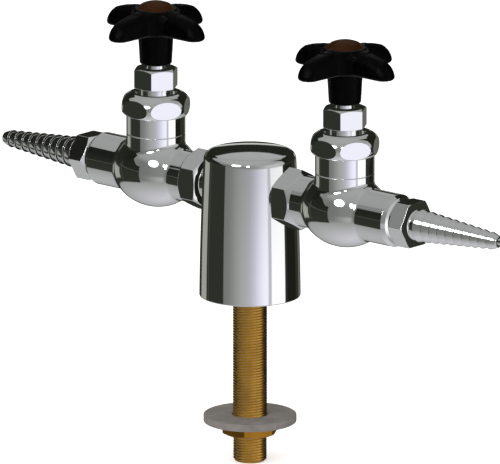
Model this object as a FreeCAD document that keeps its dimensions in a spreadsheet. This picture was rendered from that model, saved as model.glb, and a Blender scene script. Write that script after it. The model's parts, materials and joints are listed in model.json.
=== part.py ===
import FreeCAD, Part
import math
import os
import Sketcher
from FreeCAD import Placement, Rotation, Vector

# Two-way laboratory bench tap. A tapered turret stands on the bench, screwed to a threaded shank
# that passes through the bench and is clamped below by a washer and a locknut. Two
# globe valves leave the turret opposite each other, each with a serrated hose nozzle.
# Millimetres, +Z up, origin at the centre of the turret's base rim. +X runs along the right arm,
# and the left valve is the right one turned half round the turret's axis.

DRIVING_SIZES = [
    # turret
    ("turret_base_radius", 25.4, "outer radius of the rim on the bench, a 2 inch base"),
    ("turret_shoulder_radius", 23.2, "outer radius where the straight taper ends"),
    ("turret_side_height", 70.15, "height of the straight taper"),
    ("turret_corner", 4.05, "rounding between side and crown"),
    ("turret_crown_slope", 9.0, "slope of the crown where it meets the rounding, degrees"),
    ("turret_wall", 3.2, "wall of the hollow skirt"),
    ("skirt_depth", 36.0, "height of the hollow under the turret"),
    ("skirt_corner", 3.0, "rounding at the top of the hollow"),
    ("waterway_radius", 5.5, "bore of the passages in the turret's head"),
    ("arm_height", 54.4, "height of both arms' axis above the bench"),
    ("port_depth", 9.5, "distance from the turret's axis to the bottom of each side port"),
    ("port_seat", 21.4, "distance from the turret's axis to the faced seat of each port"),
    ("port_seat_gap", 0.4, "clearance round the collar in the faced seat"),
    # clamp under the bench
    ("shank_radius", 8.57, "outer radius of a 3/8 pipe thread"),
    ("shank_bore", 6.25, "bore of the shank"),
    ("shank_reach", 85.5, "length of shank below the base rim"),
    ("shank_grip", 10.5, "thread engaged in the turret's head"),
    ("shank_chamfer", 1.3, "chamfer at both ends of the thread"),
    ("inlet_thread_radius", 8.35, "small end of the pipe thread, for the supply coupling"),
    ("inlet_thread_length", 12.5, "length of that end, chamfer included"),
    ("bench_gap", 61.5, "space between base rim and washer"),
    ("clamp_washer_radius", 23.35, "outer radius of the washer"),
    ("clamp_washer_thickness", 3.7, "thickness of the washer"),
    ("clamp_washer_play", 0.4, "radial clearance of the washer on the shank"),
    ("clamp_washer_edge", 0.4, "broken edge of the washer"),
    ("locknut_flats", 25.4, "size across flats"),
    ("locknut_thickness", 6.3, "thickness of the locknut"),
    # valve casting
    ("valve_reach", 62.7, "distance from the turret's axis to each valve's axis"),
    ("ball_radius", 18.8, "round belly of the valve"),
    ("barrel_radius", 14.85, "neck under the bonnet nut"),
    ("barrel_height", 28.6, "top of the plain neck above the arm axis"),
    ("seam_drop", 9.6, "fine turned line round the neck, below the plain neck's top"),
    ("seam_depth", 0.3, "depth of that line"),
    ("cap_thread_radius", 14.0, "thread that carries the bonnet nut"),
    ("cap_thread_length", 2.4, "length of that thread above the plain neck"),
    ("casting_blend", 3.0, "hollow rounding where arms and neck leave the belly"),
    ("inlet_arm_radius", 12.9, "arm towards the turret"),
    ("inlet_hex_flats", 27.2, "size across flats of the inlet hexagon"),
    ("inlet_hex_face", 25.4, "distance from the turret's axis to the hexagon's inner face"),
    ("inlet_hex_length", 8.8, "length of the hexagon's corners"),
    ("collar_radius", 10.0, "round collar between hexagon and turret"),
    ("spigot_radius", 8.5, "threaded end in the turret's port"),
    ("thread_lead", 1.0, "chamfer that leads a male thread into its hole"),
    ("outlet_arm_radius", 13.3, "arm towards the nozzle"),
    ("outlet_reach", 37.3, "end face of the outlet arm from the valve's axis"),
    ("outlet_mouth_radius", 12.0, "outer radius of the outlet's end face"),
    ("outlet_chamfer", 2.9, "length of the taper at the outlet's end"),
    ("nozzle_thread_radius", 9.55, "threaded end of the nozzle"),
    ("nozzle_socket_depth", 13.0, "depth of the threaded outlet"),
    ("nozzle_end_gap", 1.0, "space between the nozzle's end and the bottom of its socket"),
    ("chamber_radius", 10.5, "bore above the seat"),
    ("chamber_floor", 3.5, "top of the web that holds the seat, above the arm axis"),
    ("well_radius", 5.0, "bore below the seat"),
    ("well_depth", 8.5, "bottom of that bore below the arm axis"),
    ("seat_thread_radius", 6.5, "thread of the seat in the web"),
    ("inlet_bore", 4.0, "inlet passage radius"),
    ("inlet_drop", 2.5, "inlet passage below the arm axis"),
    ("outlet_bore", 4.2, "outlet passage radius"),
    ("outlet_rise", 3.0, "outlet passage above the arm axis"),
    ("outlet_start", 8.2, "where the outlet passage meets the chamber"),
    # hose nozzle
    ("nozzle_shoulder_radius", 10.5, "shoulder between outlet face and hexagon"),
    ("nozzle_shoulder", 1.2, "length of that shoulder"),
    ("nozzle_hex_flats", 22.2, "size across flats of the nozzle's hexagon"),
    ("nozzle_hex_length", 9.2, "length of the hexagon"),
    ("barb_count", 10, "number of hose serrations"),
    ("barb_pitch", 5.0, "distance from one serration to the next"),
    ("barb_depth", 1.15, "height of each step"),
    ("barb_land", 0.4, "narrow flat on each crest"),
    ("barb_tip_crest", 4.5, "radius of the crest nearest the tip"),
    ("barb_growth", 0.4175, "growth of the crest radius per serration"),
    ("barb_neck", 3.3, "plain neck between hexagon and the last step"),
    ("tip_length", 5.2, "taper from the first crest to the tip"),
    ("tip_radius", 2.74, "outer radius at the tip"),
    ("nozzle_bore", 1.6, "bore through the serrations"),
    ("nozzle_feed_bore", 4.5, "bore in the threaded end"),
    ("nozzle_feed_reach", 4.6, "how far that bore reaches into the hexagon"),
    # bonnet and its nut
    ("bonnet_skirt", 15.4, "length of the bonnet below its flange"),
    ("gasket_thickness", 0.6, "bonnet gasket"),
    ("gasket_margin", 0.4, "gasket set back from the rim"),
    ("bonnet_flange_radius", 13.7, "bonnet flange"),
    ("bonnet_flange_thickness", 2.6, "bonnet flange"),
    ("bonnet_neck_radius", 7.7, "threaded neck of the bonnet"),
    ("bonnet_thread_reach", 6.8, "how far that neck reaches into the packing nut"),
    ("bonnet_guide", 7.5, "plain guide between driving thread and packing"),
    ("packing_depth", 7.2, "depth of the packing recess"),
    ("packing_radius", 6.5, "radius of the packing recess"),
    ("cap_bottom_radius", 15.8, "lower edge of the bonnet nut"),
    ("cap_radius", 17.9, "widest part of the bonnet nut"),
    ("cap_belt_rise", 4.2, "height of the widest part above the nut's lower edge"),
    ("cap_dome_rise", 7.0, "top of the bonnet nut above its widest part"),
    ("cap_top_radius", 12.5, "outer edge of the nut's flat top"),
    ("cap_hole_radius", 9.9, "hole in the top of the bonnet nut"),
    ("cap_hole_edge", 0.6, "chamfer round that hole"),
    ("cap_gap", 0.2, "gap between the neck's shoulder and the bonnet nut"),
    ("cap_flats", 32.0, "size across the six spanner flats"),
    ("packing_height", 5.2, "height of the packing"),
    ("packing_notch", 0.25, "groove where two packing rings meet"),
    ("gland_flange_radius", 7.4, "flange of the gland"),
    ("gland_flange", 1.2, "thickness of that flange"),
    ("gland_lift", 0.2, "gland flange above the bonnet's top"),
    ("packing_nut_flats", 20.0, "size across flats of the packing nut"),
    ("packing_nut_gap", 2.4, "space between bonnet nut and packing nut"),
    ("packing_nut_height", 10.2, "height of the packing nut"),
    # seat, disc and stem
    ("seat_bore", 4.2, "water passage of the seat"),
    ("seat_flange_radius", 8.0, "flange of the seat"),
    ("seat_flange", 1.2, "thickness of that flange"),
    ("seat_crown", 0.8, "raised lip that the seat washer closes on"),
    ("seat_lip", 0.8, "width of the lip's flat top"),
    ("seat_bevel", 0.4, "bevels of the lip"),
    ("seat_washer_radius", 6.6, "seat washer"),
    ("seat_washer_thickness", 2.4, "seat washer"),
    ("holder_radius", 7.7, "cup that holds the seat washer"),
    ("holder_cover", 1.5, "how far the cup covers the washer's edge"),
    ("holder_plate", 2.5, "thickness of the cup's plate"),
    ("holder_neck_radius", 3.2, "swivel neck in the stem's socket"),
    ("holder_neck_length", 5.6, "length of that neck"),
    ("washer_screw_radius", 1.9, "screw through the seat washer"),
    ("washer_screw_head", 3.5, "head radius of that screw"),
    ("washer_screw_head_height", 1.6, "head height of that screw"),
    ("washer_screw_reach", 6.5, "thread length of that screw"),
    ("stem_collar_radius", 7.0, "collar at the foot of the stem"),
    ("stem_collar", 2.2, "height of that collar"),
    ("stem_thread_radius", 5.5, "driving thread of the stem"),
    ("stem_headroom", 4.5, "room above the driving thread of a closed valve"),
    ("stem_radius", 4.6, "plain stem through the packing"),
    ("stem_square", 6.2, "square under the handle, across flats"),
    ("stem_end_gap", 0.2, "space between stem and web, so that the screw draws up"),
    ("stem_tapping", 9.0, "depth of the screw hole in the stem's top"),
    # handle
    ("handle_turn", 2.0, "how far the closed handles stand turned from the arms, degrees"),
    ("hub_gap", 3.4, "space between packing nut and hub of a closed valve"),
    ("hub_counterbore", 1.0, "depth of the hub's recess round the plain stem"),
    ("handle_height", 27.2, "height of the handle from the hub's end to the crown"),
    ("hub_bottom_radius", 8.0, "hub at its lower end"),
    ("hub_top_radius", 8.95, "hub under the lobes"),
    ("hub_edge", 1.0, "rounded lower edge of the hub"),
    ("lobe_depth", 13.0, "underside of the lobes at the hub, below the crown"),
    ("lobe_underside_rise", 0.5, "rise of the underside towards the tips"),
    ("lobe_reach", 31.8, "tip of a lobe from the axis"),
    ("lobe_tip_radius", 6.0, "rounding of a lobe's tip in plan"),
    ("lobe_taper", 1.0, "lean of a lobe's sides towards its tip, degrees"),
    ("lobe_waist", 11.5, "nearest point of the hollows between the lobes"),
    ("crown_radius", 46.0, "rounding of the handle's top along a lobe"),
    ("lobe_top_edge", 4.0, "rounding of the lobes' upper edges"),
    ("lobe_lower_edge", 1.6, "rounding of the lobes' lower edges"),
    ("button_recess", 0.8, "depth of the seat for the button's rim"),
    ("button_radius", 9.5, "rim of the index button"),
    ("button_side", 0.9, "height of the button's rim"),
    ("button_bevel", 0.9, "bevel of the button's rim"),
    ("button_rise", 3.6, "top of the button's dome above the crown"),
    ("button_plug_radius", 6.9, "snap ring under the button"),
    ("button_plug_wall", 1.0, "wall of that ring"),
    ("button_plug_length", 3.2, "length of that ring"),
    ("handle_well_depth", 7.5, "depth of the well under the button"),
    ("handle_web", 2.5, "web that the handle screw clamps"),
    ("handle_screw_radius", 1.75, "screw that holds the handle"),
    ("handle_screw_head", 3.6, "head radius of that screw"),
    ("handle_screw_head_height", 2.4, "head height of that screw"),
    ("handle_screw_side", 1.1, "straight side of its domed head"),
    ("handle_screw_reach", 9.0, "thread length of that screw"),
    # fits
    ("thread_fit", 0.05, "radial clearance of a screwed joint"),
    ("running_fit", 0.06, "radial clearance of a turning or sliding joint"),
    ("loose_fit", 0.15, "radial clearance of parts that are only laid in"),
]

doc = FreeCAD.newDocument("bench_tap")
sheet = doc.addObject("Spreadsheet::Sheet", "sizes")


class Size:
    """A size together with the sheet formula that gives it."""

    def __init__(self, value, formula):
        self.value = value
        self.formula = formula

    def __add__(self, other):
        other = as_size(other)
        return Size(self.value + other.value, f"({self.formula} + {other.formula})")

    def __radd__(self, other):
        return as_size(other) + self

    def __sub__(self, other):
        other = as_size(other)
        return Size(self.value - other.value, f"({self.formula} - {other.formula})")

    def __rsub__(self, other):
        return as_size(other) - self

    def __mul__(self, other):
        other = as_size(other)
        return Size(self.value * other.value, f"({self.formula} * {other.formula})")

    __rmul__ = __mul__

    def __truediv__(self, other):
        other = as_size(other)
        return Size(self.value / other.value, f"({self.formula} / {other.formula})")

    def __neg__(self):
        return 0 - self

    def root(self):
        return Size(math.sqrt(self.value), f"sqrt({self.formula})")

    def sine(self):
        return Size(math.sin(math.radians(self.value)), f"sin({self.formula})")

    def cosine(self):
        return Size(math.cos(math.radians(self.value)), f"cos({self.formula})")


def as_size(value):
    if isinstance(value, Size):
        return value
    return Size(float(value), f"({float(value):.9f})")


class Sizes:
    """The driving sizes by name, each tied to its cell."""


def fill_sheet():
    sizes = Sizes()
    for row, (name, value, meaning) in enumerate(DRIVING_SIZES, start=1):
        sheet.set(f"A{row}", meaning)
        sheet.set(f"B{row}", str(value))
        sheet.setAlias(f"B{row}", name)
        setattr(sizes, name, Size(float(value), f"sizes.{name}"))
    doc.recompute()
    return sizes


D = fill_sheet()

ROOT_THREE = math.sqrt(3.0)
HALF_TURN = 180.0
FULL_TURN = 360.0
HEXAGON, SQUARE = 6, 4
CORNER_AHEAD = 0.0      # first corner of a polygon on the sketch's own first axis
CORNER_ABOVE = 90.0     # on its second axis
CORNER_BETWEEN = 45.0   # a square with its sides along both axes
CHAMFER_STEEP = math.tan(math.radians(30.0))
CHAMFER_FLAT = math.tan(math.radians(18.0))
OVERREACH = 1.05        # blanks and cutting rings reach this much past the finished form
EDGE_MARGIN = 0.1       # an edge counts as lying at a height when it is this near


# Sketches and features

def origin_plane(body, role):
    for feature in body.Origin.OriginFeatures:
        if feature.Role == role:
            return feature
    raise ValueError(role)


def new_sketch(body, name, role, shift=(0, 0, 0)):
    """A sketch on one of the body's own planes, moved by shift along its own axes."""
    sketch = body.newObject("Sketcher::SketchObject", name)
    sketch.AttachmentSupport = (origin_plane(body, role), [""])
    sketch.MapMode = "FlatFace"
    shift = [as_size(part) for part in shift]
    sketch.AttachmentOffset = Placement(Vector(*[part.value for part in shift]), Rotation())
    for axis, part in zip("xyz", shift):
        if part.value:
            sketch.setExpression(f"AttachmentOffset.Base.{axis}", part.formula)
    return sketch


def pin_point(sketch, geometry, end, u, v):
    """Holds one end of a curve at u, v."""
    for kind, axis, place in (("DistanceX", -2, u), ("DistanceY", -1, v)):
        place = as_size(place)
        if place.value == 0:
            sketch.addConstraint(Sketcher.Constraint("PointOnObject", geometry, end, axis))
        else:
            index = sketch.addConstraint(Sketcher.Constraint(kind, geometry, end, place.value))
            sketch.setExpression(f"Constraints[{index}]", place.formula)


def arc_between(start, end, radius):
    """The short arc from start to end, turning left for a positive radius and right otherwise."""
    if radius < 0:
        start, end = end, start
    chord = end - start
    left = Vector(-chord.y, chord.x, 0).normalize()
    height = math.sqrt(radius * radius - chord.Length ** 2 / 4)
    centre = (start + end) * 0.5 + left * height
    first = math.atan2(start.y - centre.y, start.x - centre.x)
    last = math.atan2(end.y - centre.y, end.x - centre.x)
    if last < first:
        last += 2 * math.pi
    circle = Part.Circle(centre, Vector(0, 0, 1), abs(radius))
    return Part.ArcOfCircle(circle, first, last)


def add_outline(sketch, corners):
    """A closed outline. A corner is (u, v), or (u, v, radius) where an arc leads to it."""
    corners = [tuple(as_size(part) for part in corner) for corner in corners]
    points = [Vector(corner[0].value, corner[1].value, 0) for corner in corners]
    first = sketch.GeometryCount
    ends = []
    for number, corner in enumerate(corners):
        start, end = points[number - 1], points[number]
        if len(corner) == 3:
            geometry = sketch.addGeometry(arc_between(start, end, corner[2].value))
            ends.append((1, 2) if corner[2].value > 0 else (2, 1))
        else:
            geometry = sketch.addGeometry(Part.LineSegment(start, end))
            ends.append((1, 2))
    count = len(corners)
    for number, corner in enumerate(corners):
        geometry = first + number
        following = (number + 1) % count
        sketch.addConstraint(Sketcher.Constraint(
            "Coincident", geometry, ends[number][1], first + following, ends[following][0]))
        pin_point(sketch, geometry, ends[number][1], corner[0], corner[1])
        if len(corner) == 3:
            radius = corner[2]
            index = sketch.addConstraint(Sketcher.Constraint("Radius", geometry, abs(radius.value)))
            sketch.setExpression(f"Constraints[{index}]", f"abs({radius.formula})")


def add_circle(sketch, u, v, radius):
    radius = as_size(radius)
    centre = Vector(as_size(u).value, as_size(v).value, 0)
    geometry = sketch.addGeometry(Part.Circle(centre, Vector(0, 0, 1), radius.value))
    index = sketch.addConstraint(Sketcher.Constraint("Radius", geometry, radius.value))
    sketch.setExpression(f"Constraints[{index}]", radius.formula)
    pin_point(sketch, geometry, 3, u, v)


def volume(body):
    doc.recompute()
    return body.Shape.Volume


def check_cut(body, name, before):
    """A cut that points away from the solid removes nothing and shows no error."""
    if not volume(body) < before:
        raise RuntimeError(f"{body.Label}: {name} removes nothing")


def turn_about(body, name, corners, axis, shift=(0, 0, 0), cut=False):
    """A turned form: corners are (radius, height) about V_Axis, or (place, radius) about H_Axis."""
    before = volume(body) if cut else 0
    sketch = new_sketch(body, f"{name}_outline", "XZ_Plane", shift)
    add_outline(sketch, corners)
    kind = "PartDesign::Groove" if cut else "PartDesign::Revolution"
    feature = body.newObject(kind, name)
    feature.Profile = sketch
    feature.ReferenceAxis = (sketch, [axis])
    feature.Angle = FULL_TURN
    if cut:
        check_cut(body, name, before)
    return feature


def pad(body, name, role, corners, bottom, top):
    """A straight form between two places along the plane's normal."""
    sketch = new_sketch(body, f"{name}_outline", role, (0, 0, bottom))
    add_outline(sketch, corners)
    feature = body.newObject("PartDesign::Pad", name)
    feature.Profile = sketch
    length = as_size(top) - bottom
    feature.Length = length.value
    feature.setExpression("Length", length.formula)
    return feature


def pocket(body, name, sketch, depth):
    """Cuts a sketch down against its own normal."""
    before = volume(body)
    feature = body.newObject("PartDesign::Pocket", name)
    feature.Profile = sketch
    depth = as_size(depth)
    feature.Length = depth.value
    feature.setExpression("Length", depth.formula)
    check_cut(body, name, before)
    return feature


def drill(body, name, role, u, v, radius, bottom, top):
    """A round hole between two places along the plane's normal."""
    sketch = new_sketch(body, f"{name}_circle", role, (0, 0, top))
    add_circle(sketch, u, v, radius)
    return pocket(body, name, sketch, as_size(top) - bottom)


def polygon(flats, sides, first_corner):
    """Corners of a regular outline, from its size across flats."""
    reach = flats * (0.5 / math.cos(math.pi / sides))
    corners = []
    for number in range(sides):
        angle = math.radians(first_corner + FULL_TURN * number / sides)
        corners.append((factor(reach, math.cos(angle)), factor(reach, math.sin(angle))))
    return corners


def factor(size, share):
    return 0 if abs(share) < 1e-9 else size * share


def break_corners(body, name, flats, place, inwards, axis, slope=CHAMFER_STEEP, shift=(0, 0, 0)):
    """Turns the corners off one end of a hexagon, from its inscribed circle outwards."""
    inner = flats * 0.5
    outer = flats * (1 / ROOT_THREE) * OVERREACH
    drop = (outer - inner) * (slope * inwards)
    beyond = place - inwards
    corners = [(inner, place), (inner, beyond), (outer, beyond), (outer, place + drop)]
    if axis == "H_Axis":
        corners = [(along, across) for across, along in corners]
    turn_about(body, name, corners, axis, shift, cut=True)


def new_body(label):
    body = doc.addObject("PartDesign::Body", label)
    body.Label = label
    return body


def seat(body, x=0, z=0, turn=0):
    """Puts a finished body in its place: x, z, and a turn about the vertical through it."""
    x, z, turn = as_size(x), as_size(z), as_size(turn)
    body.Placement = Placement(Vector(x.value, 0, z.value), Rotation(Vector(0, 0, 1), turn.value))
    body.setExpression("Placement.Base.x", x.formula)
    body.setExpression("Placement.Base.z", z.formula)
    body.setExpression("Placement.Rotation.Angle", f"{turn.formula} * 1 deg")


# Turret and its clamp

def turret_radius_at(height):
    slope = (D.turret_base_radius - D.turret_shoulder_radius) / D.turret_side_height
    return D.turret_base_radius - slope * height


def make_turret_body():
    body = new_body("turret_body")
    corner = D.turret_corner
    slope = D.turret_crown_slope
    side_top = (D.turret_shoulder_radius, D.turret_side_height)
    crown_radius = D.turret_shoulder_radius - corner + corner * slope.sine()
    crown_height = D.turret_side_height + corner * slope.cosine()
    dome = crown_radius / slope.sine()
    top = crown_height + dome * (1 - slope.cosine())
    turn_about(body, "shell", [
        (0, 0), (D.turret_base_radius, 0), side_top,
        (crown_radius, crown_height, corner), (0, top, dome)], "V_Axis")

    hollow_top = turret_radius_at(D.skirt_depth) - D.turret_wall
    shank_hole = D.shank_radius + D.thread_fit
    thread_top = D.skirt_depth + D.shank_grip
    turn_about(body, "hollow", [
        (0, 0), (D.turret_base_radius - D.turret_wall, 0),
        (hollow_top, D.skirt_depth - D.skirt_corner),
        (hollow_top - D.skirt_corner, D.skirt_depth, D.skirt_corner),
        (shank_hole, D.skirt_depth), (shank_hole, thread_top),
        (D.waterway_radius, thread_top), (D.waterway_radius, D.arm_height),
        (0, D.arm_height)], "V_Axis", cut=True)

    port = D.spigot_radius + D.thread_fit
    faced = D.collar_radius + D.port_seat_gap
    clear = D.turret_base_radius
    side = [
        (D.port_depth, D.waterway_radius), (D.port_depth, port),
        (D.port_seat, port), (D.port_seat, faced), (clear, faced), (clear, 0)]
    mirrored = [(-place, radius) for place, radius in reversed(side)]
    turn_about(body, "ports", side + mirrored, "H_Axis", (0, D.arm_height, 0), cut=True)
    seat(body)


def make_mounting_shank():
    body = new_body("mounting_shank")
    outer, bore, chamfer = D.shank_radius, D.shank_bore, D.shank_chamfer
    inlet = D.inlet_thread_radius
    bottom = -D.shank_reach
    inlet_top = bottom + D.inlet_thread_length
    top = D.skirt_depth + D.shank_grip
    turn_about(body, "pipe", [
        (bore, bottom), (inlet - chamfer, bottom), (inlet, bottom + chamfer),
        (inlet, inlet_top), (outer, inlet_top + (outer - inlet)),
        (outer, top - chamfer), (outer - chamfer, top), (bore, top)], "V_Axis")
    seat(body)


def make_mounting_washer():
    body = new_body("mounting_washer")
    outer, edge = D.clamp_washer_radius, D.clamp_washer_edge
    hole = D.shank_radius + D.clamp_washer_play
    thick = D.clamp_washer_thickness
    turn_about(body, "ring", [
        (hole, 0), (outer - edge, 0), (outer, edge), (outer, thick - edge),
        (outer - edge, thick), (hole, thick)], "V_Axis")
    seat(body, z=-(D.bench_gap + thick))


def make_mounting_locknut():
    body = new_body("mounting_locknut")
    flats, thick = D.locknut_flats, D.locknut_thickness
    pad(body, "hexagon", "XY_Plane", polygon(flats, HEXAGON, CORNER_AHEAD), 0, thick)
    break_corners(body, "lower_chamfer", flats, as_size(0), 1, "V_Axis")
    drill(body, "thread", "XY_Plane", 0, 0, D.shank_radius + D.thread_fit, 0, thick)
    seat(body, z=-(D.bench_gap + D.clamp_washer_thickness + thick))


# Heights in a valve above its arm axis, from the web upwards. Each piece stands on the last one

def seat_top():
    return D.chamber_floor + D.seat_flange + D.seat_crown


def holder_top():
    return seat_top() + D.seat_washer_thickness + D.holder_plate


def rim_top():
    return D.barrel_height + D.cap_thread_length


def flange_bottom():
    return rim_top() + D.gasket_thickness


def flange_top():
    return flange_bottom() + D.bonnet_flange_thickness


def cap_bottom():
    return D.barrel_height + D.cap_gap


def cap_belt():
    return cap_bottom() + D.cap_belt_rise


def cap_top():
    return cap_belt() + D.cap_dome_rise


def packing_nut_bottom():
    return cap_top() + D.packing_nut_gap


def packing_nut_top():
    return packing_nut_bottom() + D.packing_nut_height


def bonnet_top():
    return packing_nut_bottom() + D.bonnet_thread_reach


def packing_floor():
    return bonnet_top() - D.packing_depth


def packing_top():
    return packing_floor() + D.packing_height


def gland_bottom():
    return bonnet_top() + D.gland_lift


def gland_top():
    return gland_bottom() + D.gland_flange


def drive_top():
    return packing_floor() - D.bonnet_guide


def hub_bottom():
    return packing_nut_top() + D.hub_gap


def square_bottom():
    return hub_bottom() + D.hub_counterbore


def crown_top():
    return hub_bottom() + D.handle_height


def well_floor():
    return crown_top() - D.handle_well_depth


def web_bottom():
    return well_floor() - D.handle_web


def stem_top():
    return web_bottom() - D.stem_end_gap


# Valve pieces. Each is drawn about its own valve's centre: X away from the turret, Z up

def blend_points(small, big, blend):
    """Where a hollow rounding touches an arm of radius small and a ball of radius big."""
    centre_across = small + blend
    centre_along = ((big + blend) * (big + blend) - centre_across * centre_across).root()
    share = big / (big + blend)
    return centre_along, centre_along * share, centre_across * share


def make_valve_body(name):
    body = new_body(name)
    blend, ball = D.casting_blend, D.ball_radius
    hex_flats = D.inlet_hex_flats
    hex_face = D.inlet_hex_face - D.valve_reach
    corner_end = hex_face + D.inlet_hex_length
    hex_reach = hex_flats * (1 / ROOT_THREE)
    hex_end = corner_end + (hex_reach - D.inlet_arm_radius)

    # the inlet hexagon, its outer end turned down to the arm at 45 degrees
    pad(body, "inlet_hexagon", "YZ_Plane", polygon(hex_flats, HEXAGON, CORNER_ABOVE), hex_face, hex_end)
    turn_about(body, "hexagon_taper", [
        (hex_end, D.inlet_arm_radius), (hex_end, hex_reach * OVERREACH),
        (corner_end, hex_reach * OVERREACH), (corner_end, hex_reach)], "H_Axis", cut=True)
    break_corners(body, "hexagon_chamfer", hex_flats, hex_face, 1, "H_Axis", CHAMFER_FLAT)

    # both arms, the collar and the threaded spigot
    arm_in, ball_in, across_in = blend_points(D.inlet_arm_radius, ball, blend)
    arm_out, ball_out, across_out = blend_points(D.outlet_arm_radius, ball, blend)
    spigot_end = D.port_depth - D.valve_reach
    collar_end = D.port_seat - D.valve_reach
    turn_about(body, "arms", [
        (spigot_end, 0), (spigot_end, D.spigot_radius - D.thread_lead),
        (spigot_end + D.thread_lead, D.spigot_radius),
        (collar_end, D.spigot_radius), (collar_end, D.collar_radius),
        (hex_face, D.collar_radius), (hex_face, D.inlet_arm_radius),
        (-arm_in, D.inlet_arm_radius), (-ball_in, across_in, blend),
        (ball_out, across_out), (arm_out, D.outlet_arm_radius, blend),
        (D.outlet_reach - D.outlet_chamfer, D.outlet_arm_radius),
        (D.outlet_reach, D.outlet_mouth_radius), (D.outlet_reach, 0)], "H_Axis")

    # belly, neck and the thread for the bonnet nut
    neck, ball_up, across_up = blend_points(D.barrel_radius, ball, blend)
    seam = D.seam_depth
    seam_height = D.barrel_height - D.seam_drop
    turn_about(body, "belly", [
        (0, -ball), (ball, 0, ball), (across_up, ball_up, ball), (D.barrel_radius, neck, -blend),
        (D.barrel_radius, seam_height - seam), (D.barrel_radius - seam, seam_height),
        (D.barrel_radius, seam_height + seam), (D.barrel_radius, D.barrel_height),
        (D.cap_thread_radius, D.barrel_height), (D.cap_thread_radius, rim_top()),
        (0, rim_top())], "V_Axis")

    # chamber above the web, seat thread in it and well below it
    seat_hole = D.seat_thread_radius + D.thread_fit
    turn_about(body, "chamber", [
        (0, -D.well_depth), (D.well_radius, -D.well_depth), (D.well_radius, 0),
        (seat_hole, 0), (seat_hole, D.chamber_floor), (D.chamber_radius, D.chamber_floor),
        (D.chamber_radius, rim_top()), (0, rim_top())], "V_Axis", cut=True)
    drill(body, "inlet_passage", "YZ_Plane", 0, -D.inlet_drop, D.inlet_bore, spigot_end, as_size(0))
    socket_bottom = D.outlet_reach - D.nozzle_socket_depth
    drill(body, "outlet_passage", "YZ_Plane", 0, D.outlet_rise, D.outlet_bore,
          D.outlet_start, socket_bottom)
    drill(body, "outlet_socket", "YZ_Plane", 0, 0, D.nozzle_thread_radius + D.thread_fit,
          socket_bottom, D.outlet_reach)
    return body


def make_valve_seat(name):
    body = new_body(name)
    bore, thread, flange = D.seat_bore, D.seat_thread_radius, D.seat_flange_radius
    web = D.chamber_floor
    flange_top = web + D.seat_flange
    crown = flange_top + D.seat_crown
    bevel = D.seat_bevel
    lip_edge = bore + bevel + D.seat_lip
    turn_about(body, "ring", [
        (bore, bevel), (thread, bevel), (thread, web), (flange, web), (flange, flange_top),
        (lip_edge + bevel, flange_top), (lip_edge, crown), (bore + bevel, crown),
        (bore, crown - bevel)], "V_Axis")
    return body


def make_seat_washer(name):
    body = new_body(name)
    hole = D.washer_screw_radius + D.loose_fit
    bottom = seat_top()
    top = bottom + D.seat_washer_thickness
    turn_about(body, "ring", [
        (hole, bottom), (D.seat_washer_radius, bottom), (D.seat_washer_radius, top),
        (hole, top)], "V_Axis")
    return body


def make_disc_holder(name):
    body = new_body(name)
    washer_top = seat_top() + D.seat_washer_thickness
    rim = washer_top - D.holder_cover
    recess = D.seat_washer_radius + D.loose_fit
    plate_top = holder_top()
    neck_top = plate_top + D.holder_neck_length
    turn_about(body, "cup", [
        (0, washer_top), (recess, washer_top), (recess, rim), (D.holder_radius, rim),
        (D.holder_radius, plate_top), (D.holder_neck_radius, plate_top),
        (D.holder_neck_radius, neck_top), (0, neck_top)], "V_Axis")
    tapped_top = seat_top() + D.washer_screw_reach + D.loose_fit
    drill(body, "tapping", "XY_Plane", 0, 0, D.washer_screw_radius + D.thread_fit,
          washer_top, tapped_top)
    return body


def make_washer_screw(name):
    body = new_body(name)
    under = seat_top()
    bottom = under - D.washer_screw_head_height
    turn_about(body, "screw", [
        (0, bottom), (D.washer_screw_head, bottom), (D.washer_screw_head, under),
        (D.washer_screw_radius, under), (D.washer_screw_radius, under + D.washer_screw_reach),
        (0, under + D.washer_screw_reach)], "V_Axis")
    return body


def make_stem(name):
    body = new_body(name)
    foot = holder_top()
    collar_top = foot + D.stem_collar
    socket = D.holder_neck_radius + D.running_fit
    socket_top = foot + D.holder_neck_length + D.loose_fit
    thread_top = drive_top() - D.stem_headroom
    turn_about(body, "spindle", [
        (0, socket_top), (socket, socket_top), (socket, foot), (D.stem_collar_radius, foot),
        (D.stem_collar_radius, collar_top), (D.stem_thread_radius, collar_top),
        (D.stem_thread_radius, thread_top), (D.stem_radius, thread_top),
        (D.stem_radius, square_bottom()), (0, square_bottom())], "V_Axis")
    square = polygon(D.stem_square, SQUARE, CORNER_BETWEEN)
    pad(body, "square", "XY_Plane", square, square_bottom(), stem_top())
    drill(body, "tapping", "XY_Plane", 0, 0, D.handle_screw_radius + D.thread_fit,
          stem_top() - D.stem_tapping, stem_top())
    return body


def make_bonnet(name):
    body = new_body(name)
    sleeve = D.chamber_radius - D.running_fit
    drive = D.stem_thread_radius + D.running_fit
    guide = D.stem_radius + D.running_fit
    low, high = flange_bottom(), flange_top()
    bottom = low - D.bonnet_skirt
    turn_about(body, "cartridge", [
        (drive, bottom), (sleeve, bottom), (sleeve, low),
        (D.bonnet_flange_radius, low), (D.bonnet_flange_radius, high),
        (D.bonnet_neck_radius, high), (D.bonnet_neck_radius, bonnet_top()),
        (D.packing_radius, bonnet_top()), (D.packing_radius, packing_floor()),
        (guide, packing_floor()), (guide, drive_top()), (drive, drive_top())], "V_Axis")
    return body


def make_bonnet_gasket(name):
    body = new_body(name)
    inner = D.chamber_radius + D.gasket_margin
    outer = D.cap_thread_radius - D.gasket_margin
    bottom, top = rim_top(), flange_bottom()
    turn_about(body, "ring", [(inner, bottom), (outer, bottom), (outer, top), (inner, top)], "V_Axis")
    return body


def rounding(rise, draw):
    """Radius of an arc that leaves a vertical side and draws in by draw over rise."""
    return (rise * rise + draw * draw) / (draw * 2)


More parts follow.
